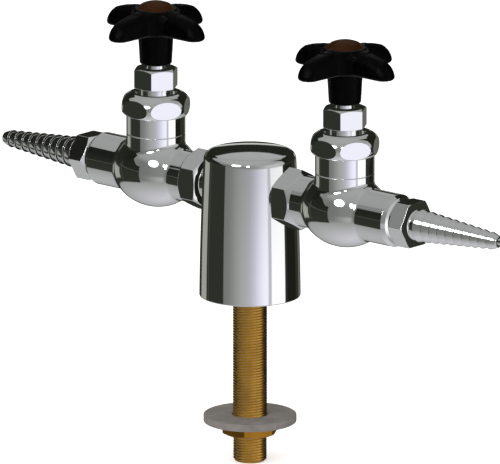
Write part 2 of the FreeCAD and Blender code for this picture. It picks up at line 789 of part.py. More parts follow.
def make_bonnet_nut(name):
    body = new_body(name)
    bottom, belt, top = cap_bottom(), cap_belt(), cap_top()
    widest = D.cap_radius
    thread = D.cap_thread_radius + D.thread_fit
    edge = D.cap_hole_edge
    turn_about(body, "cap", [
        (thread, bottom), (D.cap_bottom_radius, bottom),
        (widest, belt, rounding(belt - bottom, widest - D.cap_bottom_radius)),
        (D.cap_top_radius, top, rounding(top - belt, widest - D.cap_top_radius)),
        (D.cap_hole_radius + edge, top), (D.cap_hole_radius, top - edge),
        (D.cap_hole_radius, flange_top()), (thread, flange_top())], "V_Axis")
    sketch = new_sketch(body, "flats_outline", "XY_Plane", (0, 0, top))
    add_outline(sketch, polygon(D.cap_flats, HEXAGON, CORNER_AHEAD))
    add_circle(sketch, 0, 0, D.cap_flats * (1 / ROOT_THREE) * OVERREACH)
    pocket(body, "flats", sketch, top - bottom)
    return body


def make_stem_packing(name):
    """A stack of three lipped rings, drawn as one sleeve with a groove at each joint."""
    body = new_body(name)
    inner = D.stem_radius + D.running_fit
    outer = D.packing_radius - D.running_fit
    ring = D.packing_height / 3
    notch = D.packing_notch
    corners = [(inner, packing_floor()), (outer, packing_floor())]
    for joint in (1, 2):
        height = packing_floor() + ring * joint
        corners += [(outer, height - notch), (outer - notch, height), (outer, height + notch)]
    corners += [(outer, packing_top()), (inner, packing_top())]
    turn_about(body, "sleeve", corners, "V_Axis")
    return body


def make_packing_gland(name):
    body = new_body(name)
    inner = D.stem_radius + D.running_fit
    outer = D.packing_radius - D.running_fit
    turn_about(body, "follower", [
        (inner, packing_top()), (outer, packing_top()), (outer, gland_bottom()),
        (D.gland_flange_radius, gland_bottom()), (D.gland_flange_radius, gland_top()),
        (inner, gland_top())], "V_Axis")
    return body


def make_packing_nut(name):
    body = new_body(name)
    flats, low, high = D.packing_nut_flats, packing_nut_bottom(), packing_nut_top()
    pad(body, "hexagon", "XY_Plane", polygon(flats, HEXAGON, CORNER_AHEAD), low, high)
    break_corners(body, "upper_chamfer", flats, high, -1, "V_Axis")
    break_corners(body, "lower_chamfer", flats, low, 1, "V_Axis", CHAMFER_FLAT)
    thread = D.bonnet_neck_radius + D.thread_fit
    stem_hole = D.stem_radius + D.running_fit
    turn_about(body, "bore", [
        (0, low), (thread, low), (thread, gland_top()), (stem_hole, gland_top()),
        (stem_hole, high), (0, high)], "V_Axis", cut=True)
    return body


# Hose nozzle: steps face the hexagon so that a pushed-on hose can't slide back

def make_outlet_nozzle(name):
    body = new_body(name)
    face = D.outlet_reach + D.nozzle_shoulder
    hex_end = face + D.nozzle_hex_length
    hexagon = polygon(D.nozzle_hex_flats, HEXAGON, CORNER_AHEAD)
    pad(body, "hexagon", "YZ_Plane", hexagon, face, hex_end)
    break_corners(body, "inner_chamfer", D.nozzle_hex_flats, face, 1, "H_Axis")
    break_corners(body, "outer_chamfer", D.nozzle_hex_flats, hex_end, -1, "H_Axis", CHAMFER_FLAT)

    count = int(D.barb_count.value)
    last_crest = hex_end + D.barb_neck
    tip = last_crest + D.barb_pitch * (count - 1) + D.tip_length
    crest_radius = D.barb_tip_crest + D.barb_growth * (count - 1)
    thread_start = D.outlet_reach - D.nozzle_socket_depth + D.nozzle_end_gap
    feed_end = face + D.nozzle_feed_reach
    lead = D.thread_lead
    corners = [
        (thread_start, D.nozzle_feed_bore), (thread_start, D.nozzle_thread_radius - lead),
        (thread_start + lead, D.nozzle_thread_radius), (D.outlet_reach, D.nozzle_thread_radius),
        (D.outlet_reach, D.nozzle_shoulder_radius), (face, D.nozzle_shoulder_radius),
        (hex_end, D.nozzle_shoulder_radius), (hex_end, crest_radius - D.barb_depth)]
    for number in range(count):
        place = last_crest + D.barb_pitch * number
        radius = crest_radius - D.barb_growth * number
        corners += [(place, radius - D.barb_depth), (place, radius), (place + D.barb_land, radius)]
    corners += [
        (tip, D.tip_radius), (tip, D.nozzle_bore), (feed_end, D.nozzle_bore),
        (feed_end - D.nozzle_feed_bore, D.nozzle_feed_bore)]
    drill(body, "core", "YZ_Plane", 0, 0, D.nozzle_shoulder_radius - D.loose_fit, face, hex_end)
    turn_about(body, "barbs", corners, "H_Axis")
    return body


# Handle, its screw and the index button

def lobe_outline():
    """Plan of the handle: four arms with round tips, joined by hollow arcs that touch their sides."""
    tip, waist = D.lobe_tip_radius, D.lobe_waist
    centre = D.lobe_reach - tip
    lean, upright = D.lobe_taper.sine(), D.lobe_taper.cosine()
    root_two = math.sqrt(2.0)
    hollow_centre = (waist - tip - centre * lean) / (root_two - upright - lean)
    hollow = hollow_centre * root_two - waist
    side_x, side_y = centre + tip * lean, tip * upright
    hollow_x = hollow_centre - hollow * lean
    hollow_y = hollow_centre - hollow * upright
    arm = [
        (hollow_x, -hollow_y, -hollow), (side_x, -side_y), (D.lobe_reach, 0, tip),
        (side_x, side_y, tip), (hollow_x, hollow_y)]
    corners = []
    for _ in range(4):
        corners += arm
        arm = [(-as_size(y), as_size(x), *radius) for x, y, *radius in arm]
    return corners


def edges_between(body, low, high, inner):
    """Names of the edges that lie between two heights and outside a radius."""
    doc.recompute()
    names = []
    for number, edge in enumerate(body.Shape.Edges, start=1):
        box = edge.BoundBox
        nearest = min(math.hypot(corner.X, corner.Y) for corner in edge.Vertexes)
        if low < box.ZMin and box.ZMax < high and nearest > inner:
            names.append(f"Edge{number}")
    return names


def round_edges(body, name, names, radius):
    base = body.Tip
    feature = body.newObject("PartDesign::Fillet", name)
    feature.Base = (base, names)
    feature.Radius = radius.value
    feature.setExpression("Radius", radius.formula)
    doc.recompute()


def make_handle(name):
    body = new_body(name)
    bottom, top = hub_bottom(), crown_top()
    low, rise, reach = top - D.lobe_depth, D.lobe_underside_rise, D.lobe_reach
    outer = reach * OVERREACH
    crown = D.crown_radius
    rim_radius = D.button_radius + D.loose_fit
    fall = outer - rim_radius
    crown_drop = crown - (crown * crown - fall * fall).root()
    edge = D.hub_edge
    turn_about(body, "blank", [
        (0, bottom), (D.hub_bottom_radius - edge, bottom),
        (D.hub_bottom_radius, bottom + edge, edge), (D.hub_top_radius, low),
        (outer, low + rise), (outer, top - crown_drop), (rim_radius, top, crown), (0, top)],
        "V_Axis")
    sketch = new_sketch(body, "lobes_outline", "XY_Plane", (0, 0, top))
    add_outline(sketch, lobe_outline())
    add_circle(sketch, 0, 0, outer * OVERREACH)
    pocket(body, "lobes", sketch, top - low)
    middle = (low.value + top.value) / 2
    inner = D.lobe_waist.value - D.lobe_top_edge.value / 2
    upper = edges_between(body, middle, top.value, inner)
    round_edges(body, "upper_rounding", upper, D.lobe_top_edge)
    under_high = low.value + rise.value + D.lobe_lower_edge.value / 2
    lower = edges_between(body, low.value - EDGE_MARGIN, under_high, inner)
    round_edges(body, "lower_rounding", lower, D.lobe_lower_edge)

    # well for screw and button, and the square that grips the stem
    well = D.button_plug_radius + D.loose_fit
    rim = top - D.button_recess
    turn_about(body, "well", [
        (0, well_floor()), (well, well_floor()), (well, rim), (rim_radius, rim),
        (rim_radius, top), (0, top)], "V_Axis", cut=True)
    drill(body, "screw_hole", "XY_Plane", 0, 0, D.handle_screw_radius + D.loose_fit,
          web_bottom() - D.loose_fit, well_floor())
    socket = new_sketch(body, "socket_outline", "XY_Plane", (0, 0, web_bottom()))
    add_outline(socket, polygon(D.stem_square + D.running_fit * 2, SQUARE, CORNER_BETWEEN))
    pocket(body, "socket", socket, web_bottom() - bottom)
    counterbore = D.stem_radius + D.loose_fit
    drill(body, "counterbore", "XY_Plane", 0, 0, counterbore,
          bottom, square_bottom() + D.loose_fit)
    return body


def make_handle_screw(name):
    body = new_body(name)
    under = well_floor()
    top = under + D.handle_screw_head_height
    bottom = under - D.handle_web - D.handle_screw_reach
    head, shank = D.handle_screw_head, D.handle_screw_radius
    side = under + D.handle_screw_side
    turn_about(body, "screw", [
        (0, bottom), (shank, bottom), (shank, under), (head, under), (head, side),
        (0, top, rounding(head, top - side))], "V_Axis")
    return body


def make_index_button(name):
    body = new_body(name)
    rim = crown_top() - D.button_recess
    side_top = rim + D.button_side
    bevel = D.button_bevel
    shoulder = D.button_radius - bevel
    shoulder_height = side_top + bevel
    top = crown_top() + D.button_rise
    dome = rounding(shoulder, top - shoulder_height)
    plug, wall = D.button_plug_radius, D.button_plug_wall
    plug_bottom = rim - D.button_plug_length
    turn_about(body, "cap", [
        (0, rim), (plug - wall, rim), (plug - wall, plug_bottom), (plug, plug_bottom),
        (plug, rim), (D.button_radius, rim), (D.button_radius, side_top),
        (shoulder, shoulder_height), (0, top, dome)], "V_Axis")
    return body


FIXED_PIECES = [
    ("valve_body", make_valve_body), ("valve_seat", make_valve_seat),
    ("outlet_nozzle", make_outlet_nozzle), ("bonnet", make_bonnet),
    ("bonnet_gasket", make_bonnet_gasket), ("bonnet_nut", make_bonnet_nut),
    ("stem_packing", make_stem_packing), ("packing_gland", make_packing_gland),
    ("packing_nut", make_packing_nut), ("seat_washer", make_seat_washer),
    ("disc_holder", make_disc_holder), ("washer_screw", make_washer_screw)]
TURNING_PIECES = [
    ("stem", make_stem), ("handle", make_handle), ("handle_screw", make_handle_screw),
    ("index_button", make_index_button)]


def make_valve(side, centre, turn):
    """All pieces of one valve. The pieces that turn also stand turned by the handle's angle."""
    for piece, make in FIXED_PIECES:
        seat(make(f"{side}_{piece}"), centre, D.arm_height, turn)
    for piece, make in TURNING_PIECES:
        seat(make(f"{side}_{piece}"), centre, D.arm_height, D.handle_turn + turn)


def check_document():
    for item in doc.Objects:
        bad = [state for state in item.State if state in ("Invalid", "Error")]
        if bad:
            raise RuntimeError(f"{item.Label}: {bad}")


def write_parts():
    os.makedirs("parts", exist_ok=True)
    for body in doc.findObjects("PartDesign::Body"):
        shape = body.Shape
        if shape.isNull() or not shape.isValid():
            raise RuntimeError(f"{body.Label}: bad shape")
        if len(shape.Solids) != 1:
            raise RuntimeError(f"{body.Label}: {len(shape.Solids)} solids")
    for body in doc.findObjects("PartDesign::Body"):
        body.Shape.exportStep(f"parts/{body.Label}.step")
        box = body.Shape.BoundBox
        print(f"{body.Label:24s} {body.Shape.Volume:10.1f} mm3  x {box.XMin:.2f} {box.XMax:.2f}"
              f"  z {box.ZMin:.2f} {box.ZMax:.2f}")


make_turret_body()
make_mounting_shank()
make_mounting_washer()
make_mounting_locknut()
make_valve("right", D.valve_reach, 0)
make_valve("left", -D.valve_reach, HALF_TURN)
doc.recompute()
check_document()
write_parts()
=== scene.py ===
# %% [markdown]
# # A two-way laboratory bench tap
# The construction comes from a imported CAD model, which is the fixed frame. This file gives it its
# looks: it loads the frame, sets up a small photo studio, mixes a finish for every part and models
# anew the parts that the camera sees, because a mirror finish shows every flat facet of a coarse
# mesh.

import json
from math import cos, pi, radians, sin, sqrt, tan

import bpy
import numpy as np
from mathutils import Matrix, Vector

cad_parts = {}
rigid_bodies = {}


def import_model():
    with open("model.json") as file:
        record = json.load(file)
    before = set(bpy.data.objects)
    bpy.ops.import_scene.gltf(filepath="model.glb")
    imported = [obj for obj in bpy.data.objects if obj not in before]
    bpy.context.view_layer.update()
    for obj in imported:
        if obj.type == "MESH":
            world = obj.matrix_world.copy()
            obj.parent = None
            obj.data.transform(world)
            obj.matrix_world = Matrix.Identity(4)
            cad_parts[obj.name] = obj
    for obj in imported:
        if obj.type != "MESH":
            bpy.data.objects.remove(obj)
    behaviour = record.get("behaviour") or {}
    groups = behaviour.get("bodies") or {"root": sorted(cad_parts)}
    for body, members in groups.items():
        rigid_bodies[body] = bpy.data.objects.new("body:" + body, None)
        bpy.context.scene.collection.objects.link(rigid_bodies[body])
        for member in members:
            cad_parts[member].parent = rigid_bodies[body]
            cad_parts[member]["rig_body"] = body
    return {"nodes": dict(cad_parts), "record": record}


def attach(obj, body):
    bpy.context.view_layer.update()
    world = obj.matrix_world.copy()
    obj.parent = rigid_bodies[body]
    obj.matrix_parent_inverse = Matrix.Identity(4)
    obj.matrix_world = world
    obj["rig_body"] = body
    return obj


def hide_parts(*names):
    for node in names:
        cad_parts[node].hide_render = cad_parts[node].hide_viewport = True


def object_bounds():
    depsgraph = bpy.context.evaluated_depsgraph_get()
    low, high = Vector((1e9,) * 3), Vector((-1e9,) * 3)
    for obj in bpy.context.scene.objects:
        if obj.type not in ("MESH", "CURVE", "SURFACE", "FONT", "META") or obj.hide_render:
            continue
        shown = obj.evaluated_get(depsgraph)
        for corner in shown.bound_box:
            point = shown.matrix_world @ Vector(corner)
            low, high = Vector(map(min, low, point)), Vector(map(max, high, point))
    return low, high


MM = 0.001
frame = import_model()
CAD_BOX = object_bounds()
low, high = CAD_BOX
print("frame:", len(frame["nodes"]), "nodes,", [round(side / MM, 1) for side in high - low], "mm")

# %% [markdown]
# ## Camera
# The photograph was taken from the front right and a little above, from so far away that parallel
# edges stay parallel. A very long lens at ten metres gives nearly the same picture. An
# orthographic camera could do it too, but a real lens keeps the view usable when it is moved.

# %% Camera
VIEW_TURN = radians(41.2)
VIEW_HEIGHT = radians(14.2)
LENS, SENSOR = 1500.0, 36.0
PICTURE_WIDTH = 0.250
AIM = Vector((0.0, 0.0, 0.0323))
FAR_AWAY = 50.0

distance = PICTURE_WIDTH * LENS / SENSOR
towards_camera = Vector((sin(VIEW_TURN) * cos(VIEW_HEIGHT), -cos(VIEW_TURN) * cos(VIEW_HEIGHT),
                         sin(VIEW_HEIGHT)))
camera_data = bpy.data.cameras.new("camera")
camera_data.lens = LENS
camera_data.sensor_width = SENSOR
camera_data.clip_end = FAR_AWAY
camera = bpy.data.objects.new("camera", camera_data)
bpy.context.scene.collection.objects.link(camera)
camera.location = AIM + towards_camera * distance
camera.rotation_euler = (-towards_camera).to_track_quat("-Z", "Y").to_euler()
bpy.context.scene.camera = camera
bpy.context.scene.view_settings.view_transform = "Standard"
print("camera at", [round(part, 2) for part in camera.location], "m")

# %% [markdown]
# ## Node helpers
# Every finish below is a small graph of shader nodes. One function adds a node, sets its values
# and plugs in its links, and one turns the sRGB hex code of a colour into the linear numbers that
# the renderer works with.

# %% Node helpers
def linear(code):
    """Linear RGBA of an sRGB hex code, by the standard's own curve."""
    channels = [int(code[start:start + 2], 16) / 255 for start in (1, 3, 5)]
    return tuple(c / 12.92 if c <= 0.04045 else ((c + 0.055) / 1.055) ** 2.4
                 for c in channels) + (1.0,)


def add_node(tree, kind, settings=None, links=None, stops=None):
    """Adds a shader node and gives its first output. Settings are its properties, links give its
    sockets a value or another output, and stops are the (position, hex code or grey value) pairs
    of a colour ramp."""
    node = tree.nodes.new("ShaderNode" + kind)
    for name, value in (settings or {}).items():
        setattr(node, name, value)
    for socket, value in (links or {}).items():
        if isinstance(value, bpy.types.NodeSocket):
            tree.links.new(value, node.inputs[socket])
        else:
            node.inputs[socket].default_value = value
    if stops:
        elements = node.color_ramp.elements
        while len(elements) < len(stops):
            elements.new(1.0)
        for element, (position, tone) in zip(elements, stops):
            element.position = position
            element.color = linear(tone) if isinstance(tone, str) else (tone, tone, tone, 1)
    return node.outputs[0] if len(node.outputs) else node

# %% [markdown]
# ## Studio
# Polished chrome shows its surroundings and hardly anything of its own, so the studio is half of
# the finish. The reflections in the photograph tell what stood round the tap: a grey room, a pale
# wall in front that brightens to white on the right, and tall black flags on both sides and
# behind. They are drawn here as tones by direction, which only mirror rays see. Matt surfaces get
# plain, even light, and the camera sees white. Cards all round the tap would also do, but not for
# every view. Only two small ones are hung, for the left nozzle.

# %% Tones of the studio
# Angles are in degrees: bearings to the right of the camera, and heights above the horizon
GROUND = [(-90, "#c6c6ca"), (-70, "#bcbcc0"), (-50, "#abacac"), (-30, "#979997"), (-20, "#8b8d8a")]
LOW_WALL = [(-62, "#717370"), (-50, "#787a77"), (-40, "#868885"), (-30, "#949693"),
            (-20, "#a0a19f"), (-10, "#a6a7aa"), (0, "#b0b0b8"), (10, "#c2c2cf"), (20, "#d8d8e6"),
            (31, "#ececf8"), (42, "#f0f0fb"), (44, "#bbbac6"), (50, "#bbbac6"), (52, "#ffffff"),
            (87, "#ffffff")]
HIGH_WALL = [(-180, "#a2a3a2"), (-140, "#8a8c89"), (-62, "#6e706d"), (-45, "#737572"),
             (-30, "#7c7e7b"), (0, "#81837f"), (15, "#8d8f8c"), (30, "#9fa19f"), (45, "#b4b5b6"),
             (75, "#b8b9ba"), (90, "#abacab"), (140, "#abacab"), (180, "#a2a3a2")]
CEILING = [(35, "#949694"), (60, "#9b9d9b"), (90, "#a3a4a3")]
# The flags behind: top edge by bearing, joined by straight lines
FLAG_TOP = [(-180, 21), (-177, 21.5), (-172, 25), (-165, 32), (-158, 38), (-148, 42), (-135, 31),
            (-105, 31), (-86, 26), (-72, 15), (-62, 14), (88, 1), (96, 8), (101, 32), (108, 40),
            (118, 62), (126, 62), (136, 44), (150, 42), (160, 32), (172, 25), (177, 21.5),
            (180, 21)]
FLAG_FOOT = -28
LEFT_FLAG_EDGE, RIGHT_FLAG_EDGE = -63.5, 88.0
TOP_SOFT, FOOT_SOFT, SIDE_SOFT = 0.8, 1.5, 1
FLAG_TONES = [(-30, "#2f312b"), (-5, "#2b2d27"), (6, "#22241f"), (40, "#1b1c18")]
# Lighter things before the flags: left, right, bottom and top edge, softness, tone
PATCHES = [
    (-147, -117, -23, -4, 3.0, "#9a9b93"),
    (-113, -109, -24, 10, 1.5, "#43463f"),
    (-190, -160, 2.0, 7.5, 1.5, "#c4c5be"),
    (-170, -150, 1, 9, 3.0, "#6d6e66"),
    (-101, -80, 27.5, 38, 1.5, "#7f817f"),
    (-120, -64, -0.6, 1.6, 0.8, "#50524b"),
    (143, 170, -24, -4, 4.0, "#62635c"),
    (172, 190, 2.0, 7.5, 1.5, "#c4c5be"),
    (155, 166, -6, 6, 1.5, "#b4b5ae"),
    (-190, -168, -33.5, -26, 1.0, "#2b2d27"),
    (172, 190, -33.5, -26, 1.0, "#2b2d27"),
]
# Heights between which one band of tones goes over into the next
GROUND_TO_LOW, LOW_TO_HIGH, HIGH_TO_CEILING = (-30, -18), (-13, -3), (26, 42)
UPRIGHT, AROUND = 90, 180
ROOM_LIGHT, MIRROR_STRENGTH = 0.92, 1.1

# %% World
world = bpy.data.worlds.new("studio")
bpy.context.scene.world = world
world.use_nodes = True
tree = world.node_tree
tree.nodes.clear()
direction = add_node(tree, "TexCoord").node.outputs["Generated"]
faced = add_node(tree, "VectorRotate", {"rotation_type": "Z_AXIS"},
                 {"Vector": direction, "Angle": pi / 2 - VIEW_TURN})
parts = add_node(tree, "SeparateXYZ", links={"Vector": faced}).node.outputs


def maths(operation, *values):
    """Works one thing out of numbers or outputs of other nodes."""
    return add_node(tree, "Math", {"operation": operation}, dict(enumerate(values)))


def step(angle, start, end):
    """Goes smoothly from 0 at start to 1 at end."""
    return add_node(tree, "MapRange", {"interpolation_type": "SMOOTHSTEP"},
                    {"Value": angle, "From Min": start, "From Max": end})


def both(first, second):
    return maths("MULTIPLY", first, second)


def laid_over(base, tone, cover):
    """Lays a tone over the base. Sockets 6 and 7 of this node are its two colours."""
    return add_node(tree, "Mix", {"data_type": "RGBA"},
                    {0: cover, 6: base, 7: tone}).node.outputs[2]


def tones(angle, stops, span):
    """A ramp of tones over angles from -span to span."""
    place = add_node(tree, "MapRange", links={"Value": angle, "From Min": -span, "From Max": span})
    return add_node(tree, "ValToRGB", links={0: place},
                    stops=[((stop + span) / (2 * span), code) for stop, code in stops])


bearing = maths("DEGREES", maths("ARCTAN2", parts["Y"], parts["X"]))
height = maths("DEGREES", maths("ARCSINE", parts["Z"]))
room = laid_over(tones(height, GROUND, UPRIGHT), tones(bearing, LOW_WALL, AROUND),
                 step(height, *GROUND_TO_LOW))
room = laid_over(room, tones(bearing, HIGH_WALL, AROUND), step(height, *LOW_TO_HIGH))
room = laid_over(room, tones(height, CEILING, UPRIGHT), step(height, *HIGH_TO_CEILING))
# A ramp holds values up to 1, so the flags' top edge goes through it as a share of a right angle
flag_top = tones(bearing, [(place, top / UPRIGHT) for place, top in FLAG_TOP], AROUND)
under_top = maths("SUBTRACT", both(flag_top, UPRIGHT), height)
flag = both(step(under_top, -TOP_SOFT, TOP_SOFT),
            step(height, FLAG_FOOT - FOOT_SOFT, FLAG_FOOT + FOOT_SOFT))
for start, end in ((LEFT_FLAG_EDGE + SIDE_SOFT, LEFT_FLAG_EDGE - SIDE_SOFT),
                   (RIGHT_FLAG_EDGE - SIDE_SOFT, RIGHT_FLAG_EDGE + SIDE_SOFT)):
    room = laid_over(room, tones(height, FLAG_TONES, UPRIGHT),
                     both(flag, step(bearing, start, end)))
for left, right, bottom, top, soft, code in PATCHES:
    wide = both(step(bearing, left, left + soft), step(bearing, right, right - soft))
    tall = both(step(height, bottom, bottom + soft), step(height, top, top - soft))
    room = laid_over(room, linear(code), both(wide, tall))
rays = add_node(tree, "LightPath").node.outputs
even = add_node(tree, "Background", links={"Color": linear("#ffffff"), "Strength": ROOM_LIGHT})
white = add_node(tree, "Background", links={"Color": linear("#ffffff")})
mirrored = add_node(tree, "Background", links={"Color": room, "Strength": MIRROR_STRENGTH})
light = add_node(tree, "MixShader", links={0: rays["Is Glossy Ray"], 1: even, 2: mirrored})
light = add_node(tree, "MixShader", links={0: rays["Is Camera Ray"], 1: light, 2: white})
add_node(tree, "OutputWorld", links={"Surface": light})
print("studio:", len(LOW_WALL), "tones of wall, two flags and", len(PATCHES), "patches")

# %% [markdown]
# ## Lamps and paper
# Two soft lamps stand high on the camera's side. They put the white dots on the bellies and a
# shadow under the washer. A sheet of white paper under the tap takes the shadow. The camera sees
# the paper as a little brighter than it is, so that it runs into the white background.

# %% Lamps and paper
LAMP_AWAY = 1.0
PAPER_SIZE, PAPER_GLOW = 3.0, 0.4


def add_lamp(name, bearing, height, size, power):
    """A soft elliptical lamp, in degrees to the right of the camera and above the bench."""
    turn = radians(bearing) + VIEW_TURN - pi / 2
    towards = Vector((cos(turn) * cos(radians(height)), sin(turn) * cos(radians(height)),
                      sin(radians(height))))
    data = bpy.data.lights.new(name, "AREA")
    data.shape = "ELLIPSE"
    data.size, data.size_y = size
    data.energy = power
    lamp = bpy.data.objects.new(name, data)
    bpy.context.scene.collection.objects.link(lamp)
    lamp.location = AIM + towards * LAMP_AWAY
    lamp.rotation_euler = (-towards).to_track_quat("-Z", "Y").to_euler()
    lamp.visible_camera = False
    print(name, "gives", power, "W from", bearing, "degrees")


add_lamp("large_lamp", -37.5, 34, (0.38, 0.34), 2.2)
add_lamp("small_lamp", -5, 31, (0.13, 0.25), 0.6)


def bare_material(name):
    """A material and its node tree, with no nodes yet."""
    material = bpy.data.materials.new(name)
    material.use_nodes = True
    material.node_tree.nodes.clear()
    return material, material.node_tree


bpy.ops.mesh.primitive_plane_add(size=PAPER_SIZE, location=(0, 0, low.z))
paper = bpy.context.active_object
paper.name = "white_paper"
sheet, tree = bare_material("white_paper")
matt = add_node(tree, "BsdfDiffuse", links={"Color": linear("#fbfbfb")})
glow = add_node(tree, "Emission", links={"Color": linear("#ffffff"), "Strength": PAPER_GLOW})
brighter = add_node(tree, "AddShader", links={0: matt, 1: glow})
seen = add_node(tree, "LightPath").node.outputs["Is Camera Ray"]
surface = add_node(tree, "MixShader", links={0: seen, 1: matt, 2: brighter})
add_node(tree, "OutputMaterial", links={"Surface": surface})
paper.data.materials.append(sheet)

# %% Near flags
# Two small black flags stand nearer than the tall ones, for the left nozzle. One darkens the front
# of its hexagon, and the other the steep sides of its teeth. Each has its place, what it faces and
# its size, in metres.
NEAR_FLAGS = [("left_near_flag", (-0.297, -0.173, 0.207), (-0.106, 0, 0.054), 0.11),
              ("right_near_flag", (0.106, 0.178, -0.024), (-0.137, 0, 0.054), 0.13)]
velvet, tree = bare_material("black_velvet")
black = add_node(tree, "Emission", links={"Color": linear("#1d1e1a")})
add_node(tree, "OutputMaterial", links={"Surface": black})
near_flags = []
for name, place, facing, size in NEAR_FLAGS:
    bpy.ops.mesh.primitive_plane_add(size=size, location=place)
    card = bpy.context.active_object
    card.name = name
    card.rotation_euler = (Vector(place) - Vector(facing)).to_track_quat("Z", "Y").to_euler()
    card.data.materials.append(velvet)
    card.visible_camera = card.visible_diffuse = card.visible_shadow = False
    near_flags.append(card)

# %% [markdown]
# ## Finishes
# Every finish starts from what the real one is. Each has its own small graph on Object
# coordinates, which are metres here, so a pattern with a pitch of p millimetres has a scale of
# 1000 / p. Noise and bumps are kept faint: this tap is new, and its finishes tell themselves apart
# by how sharply they mirror.

# %% Tools for finishes
NOISE_LOW, NOISE_HIGH = 0.3, 0.7
# A wave's phase in radians is this many times the scaled place
WAVE_PHASE = 20


def new_material(name, values):
    """A material with its tree, its principled shader and the place on the piece. The values go
    into the shader's sockets."""
    material = bpy.data.materials.new(name)
    material.use_nodes = True
    tree = material.node_tree
    shader = tree.nodes["Principled BSDF"]
    for socket, value in values.items():
        shader.inputs[socket].default_value = value
    return material, tree, shader, add_node(tree, "TexCoord").node.outputs["Object"]


def noise(tree, place, pitch, detail, **more):
    """Noise with lumps of about that many millimetres."""
    return add_node(tree, "TexNoise", links={"Vector": place, "Scale": 1000 / pitch,
                                             "Detail": detail, **more})


def turning_rings(tree, place, radian, distortion):
    """Rings round the axis: a wave whose phase grows by one radian in that many millimetres."""
    return add_node(tree, "TexWave", {"wave_type": "BANDS", "bands_direction": "Z"},
                    {"Vector": place, "Scale": 1000 / radian / WAVE_PHASE,
                     "Distortion": distortion})


def tint(tree, shader, factor, *stops):
    """Colours the shader by a ramp over the factor."""
    colour = add_node(tree, "ValToRGB", links={0: factor}, stops=stops)
    tree.links.new(colour, shader.inputs["Base Color"])


def roughen(tree, shader, factor, least, most):
    """Spreads the roughness over the values where noise has nearly all of its own."""
    rough = add_node(tree, "MapRange", links={"Value": factor, "From Min": NOISE_LOW,
                                              "From Max": NOISE_HIGH, "To Min": least,
                                              "To Max": most})
    tree.links.new(rough, shader.inputs["Roughness"])


def bump(tree, shader, height, millimetres):
    """Raises the surface by that much where the height is 1."""
    shape = add_node(tree, "Bump", links={"Height": height, "Strength": 1.0,
                                          "Distance": millimetres * MM})
    tree.links.new(shape, shader.inputs["Normal"])

# %% Chrome
# Bright chrome plate on buffed brass: a cold mirror, a little softer where the buff ran dry
polished, tree, shader, place = new_material(
    "polished_chrome_plate", {"Metallic": 1.0, "Base Color": linear("#f5f5f6")})
roughen(tree, shader, noise(tree, place, 9, 3.0), 0.025, 0.055)

# Chrome plate on turned bar that was never buffed: rings round the stem blur what it mirrors
turned_chrome, tree, shader, place = new_material(
    "turned_chrome_plate", {"Metallic": 1.0, "Base Color": linear("#eeeef0")})
rings = turning_rings(tree, place, 0.35, 0.4)
roughen(tree, shader, rings, 0.08, 0.16)
bump(tree, shader, rings, 0.004)

# %% Brass
# Bare yellow brass cut by a die: its colour is its own, the mirror is soft, and it is a little
# browner in patches where fingers and cutting oil left it
thread_brass, tree, shader, place = new_material("cut_brass", {"Metallic": 1.0})
patches = noise(tree, place, 7, 4.0)
tint(tree, shader, patches, (0.35, "#c08c35"), (0.65, "#d9a240"))
roughen(tree, shader, patches, 0.22, 0.32)
bump(tree, shader, noise(tree, place, 0.6, 2.0), 0.02)

# The locknut is milled from the same brass, a touch redder, and duller than a cut thread
nut_brass, tree, shader, place = new_material("milled_brass", {"Metallic": 1.0})
patches = noise(tree, place, 10, 4.0)
tint(tree, shader, patches, (0.35, "#c48a2e"), (0.65, "#dba03c"))
roughen(tree, shader, patches, 0.45, 0.58)
milling = add_node(tree, "Mapping", links={"Vector": place, "Scale": (1.0, 1.0, 12.0)})
bump(tree, shader, noise(tree, milling, 3, 2.0), 0.01)

# %% Washer and screws
# Dull zinc on a pressed washer: warm grey, cloudy, and too rough to mirror anything
zinc, tree, shader, place = new_material("dull_zinc_plate", {"Metallic": 0.25,
                                                             "Specular IOR Level": 0.3})
clouds = noise(tree, place, 6, 5.0, Roughness=0.6)
tint(tree, shader, clouds, (0.3, "#7d7772"), (0.7, "#918c87"))
roughen(tree, shader, clouds, 0.55, 0.7)
bump(tree, shader, noise(tree, place, 0.5, 2.0), 0.015)

# Stainless screws inside the valve: grey and evenly brushed
steel, tree, shader, place = new_material(
    "stainless_steel", {"Metallic": 1.0, "Base Color": linear("#b4b3b0")})
brushing = noise(tree, place, 0.4, 2.0)
roughen(tree, shader, brushing, 0.25, 0.4)
bump(tree, shader, brushing, 0.005)

# %% Rubber and packing
# Moulded nitrile rubber: black, matt and slightly dusty
rubber, tree, shader, place = new_material("nitrile_rubber", {"Roughness": 0.75})
dust = noise(tree, place, 1.5, 3.0)
tint(tree, shader, dust, (0.4, "#141414"), (0.7, "#222221"))
bump(tree, shader, dust, 0.01)

# Skived fluoroplastic packing: waxy white with faint cutting rings
packing, tree, shader, place = new_material("white_fluoroplastic", {"Roughness": 0.45})
rings = turning_rings(tree, place, 0.5, 0.6)
tint(tree, shader, rings, (0.0, "#dededa"), (1.0, "#eceae6"))
bump(tree, shader, rings, 0.01)

# %% Handle nylon
# Glass-filled nylon, moulded with a pebbled skin: nearly black, with a speck of light on a pebble
# here and there
PEBBLE = 0.6
nylon, tree, shader, place = new_material("pebbled_black_nylon", {"Specular IOR Level": 0.06})
pebbles = add_node(tree, "TexVoronoi", {"feature": "SMOOTH_F1"},
                   {"Vector": place, "Scale": 1000 / PEBBLE, "Smoothness": 0.4})
patches = noise(tree, place, 5, 2.0)
tint(tree, shader, patches, (0.3, "#000000"), (0.7, "#020202"))
roughen(tree, shader, patches, 0.22, 0.34)
bump(tree, shader, pebbles, 0.12)

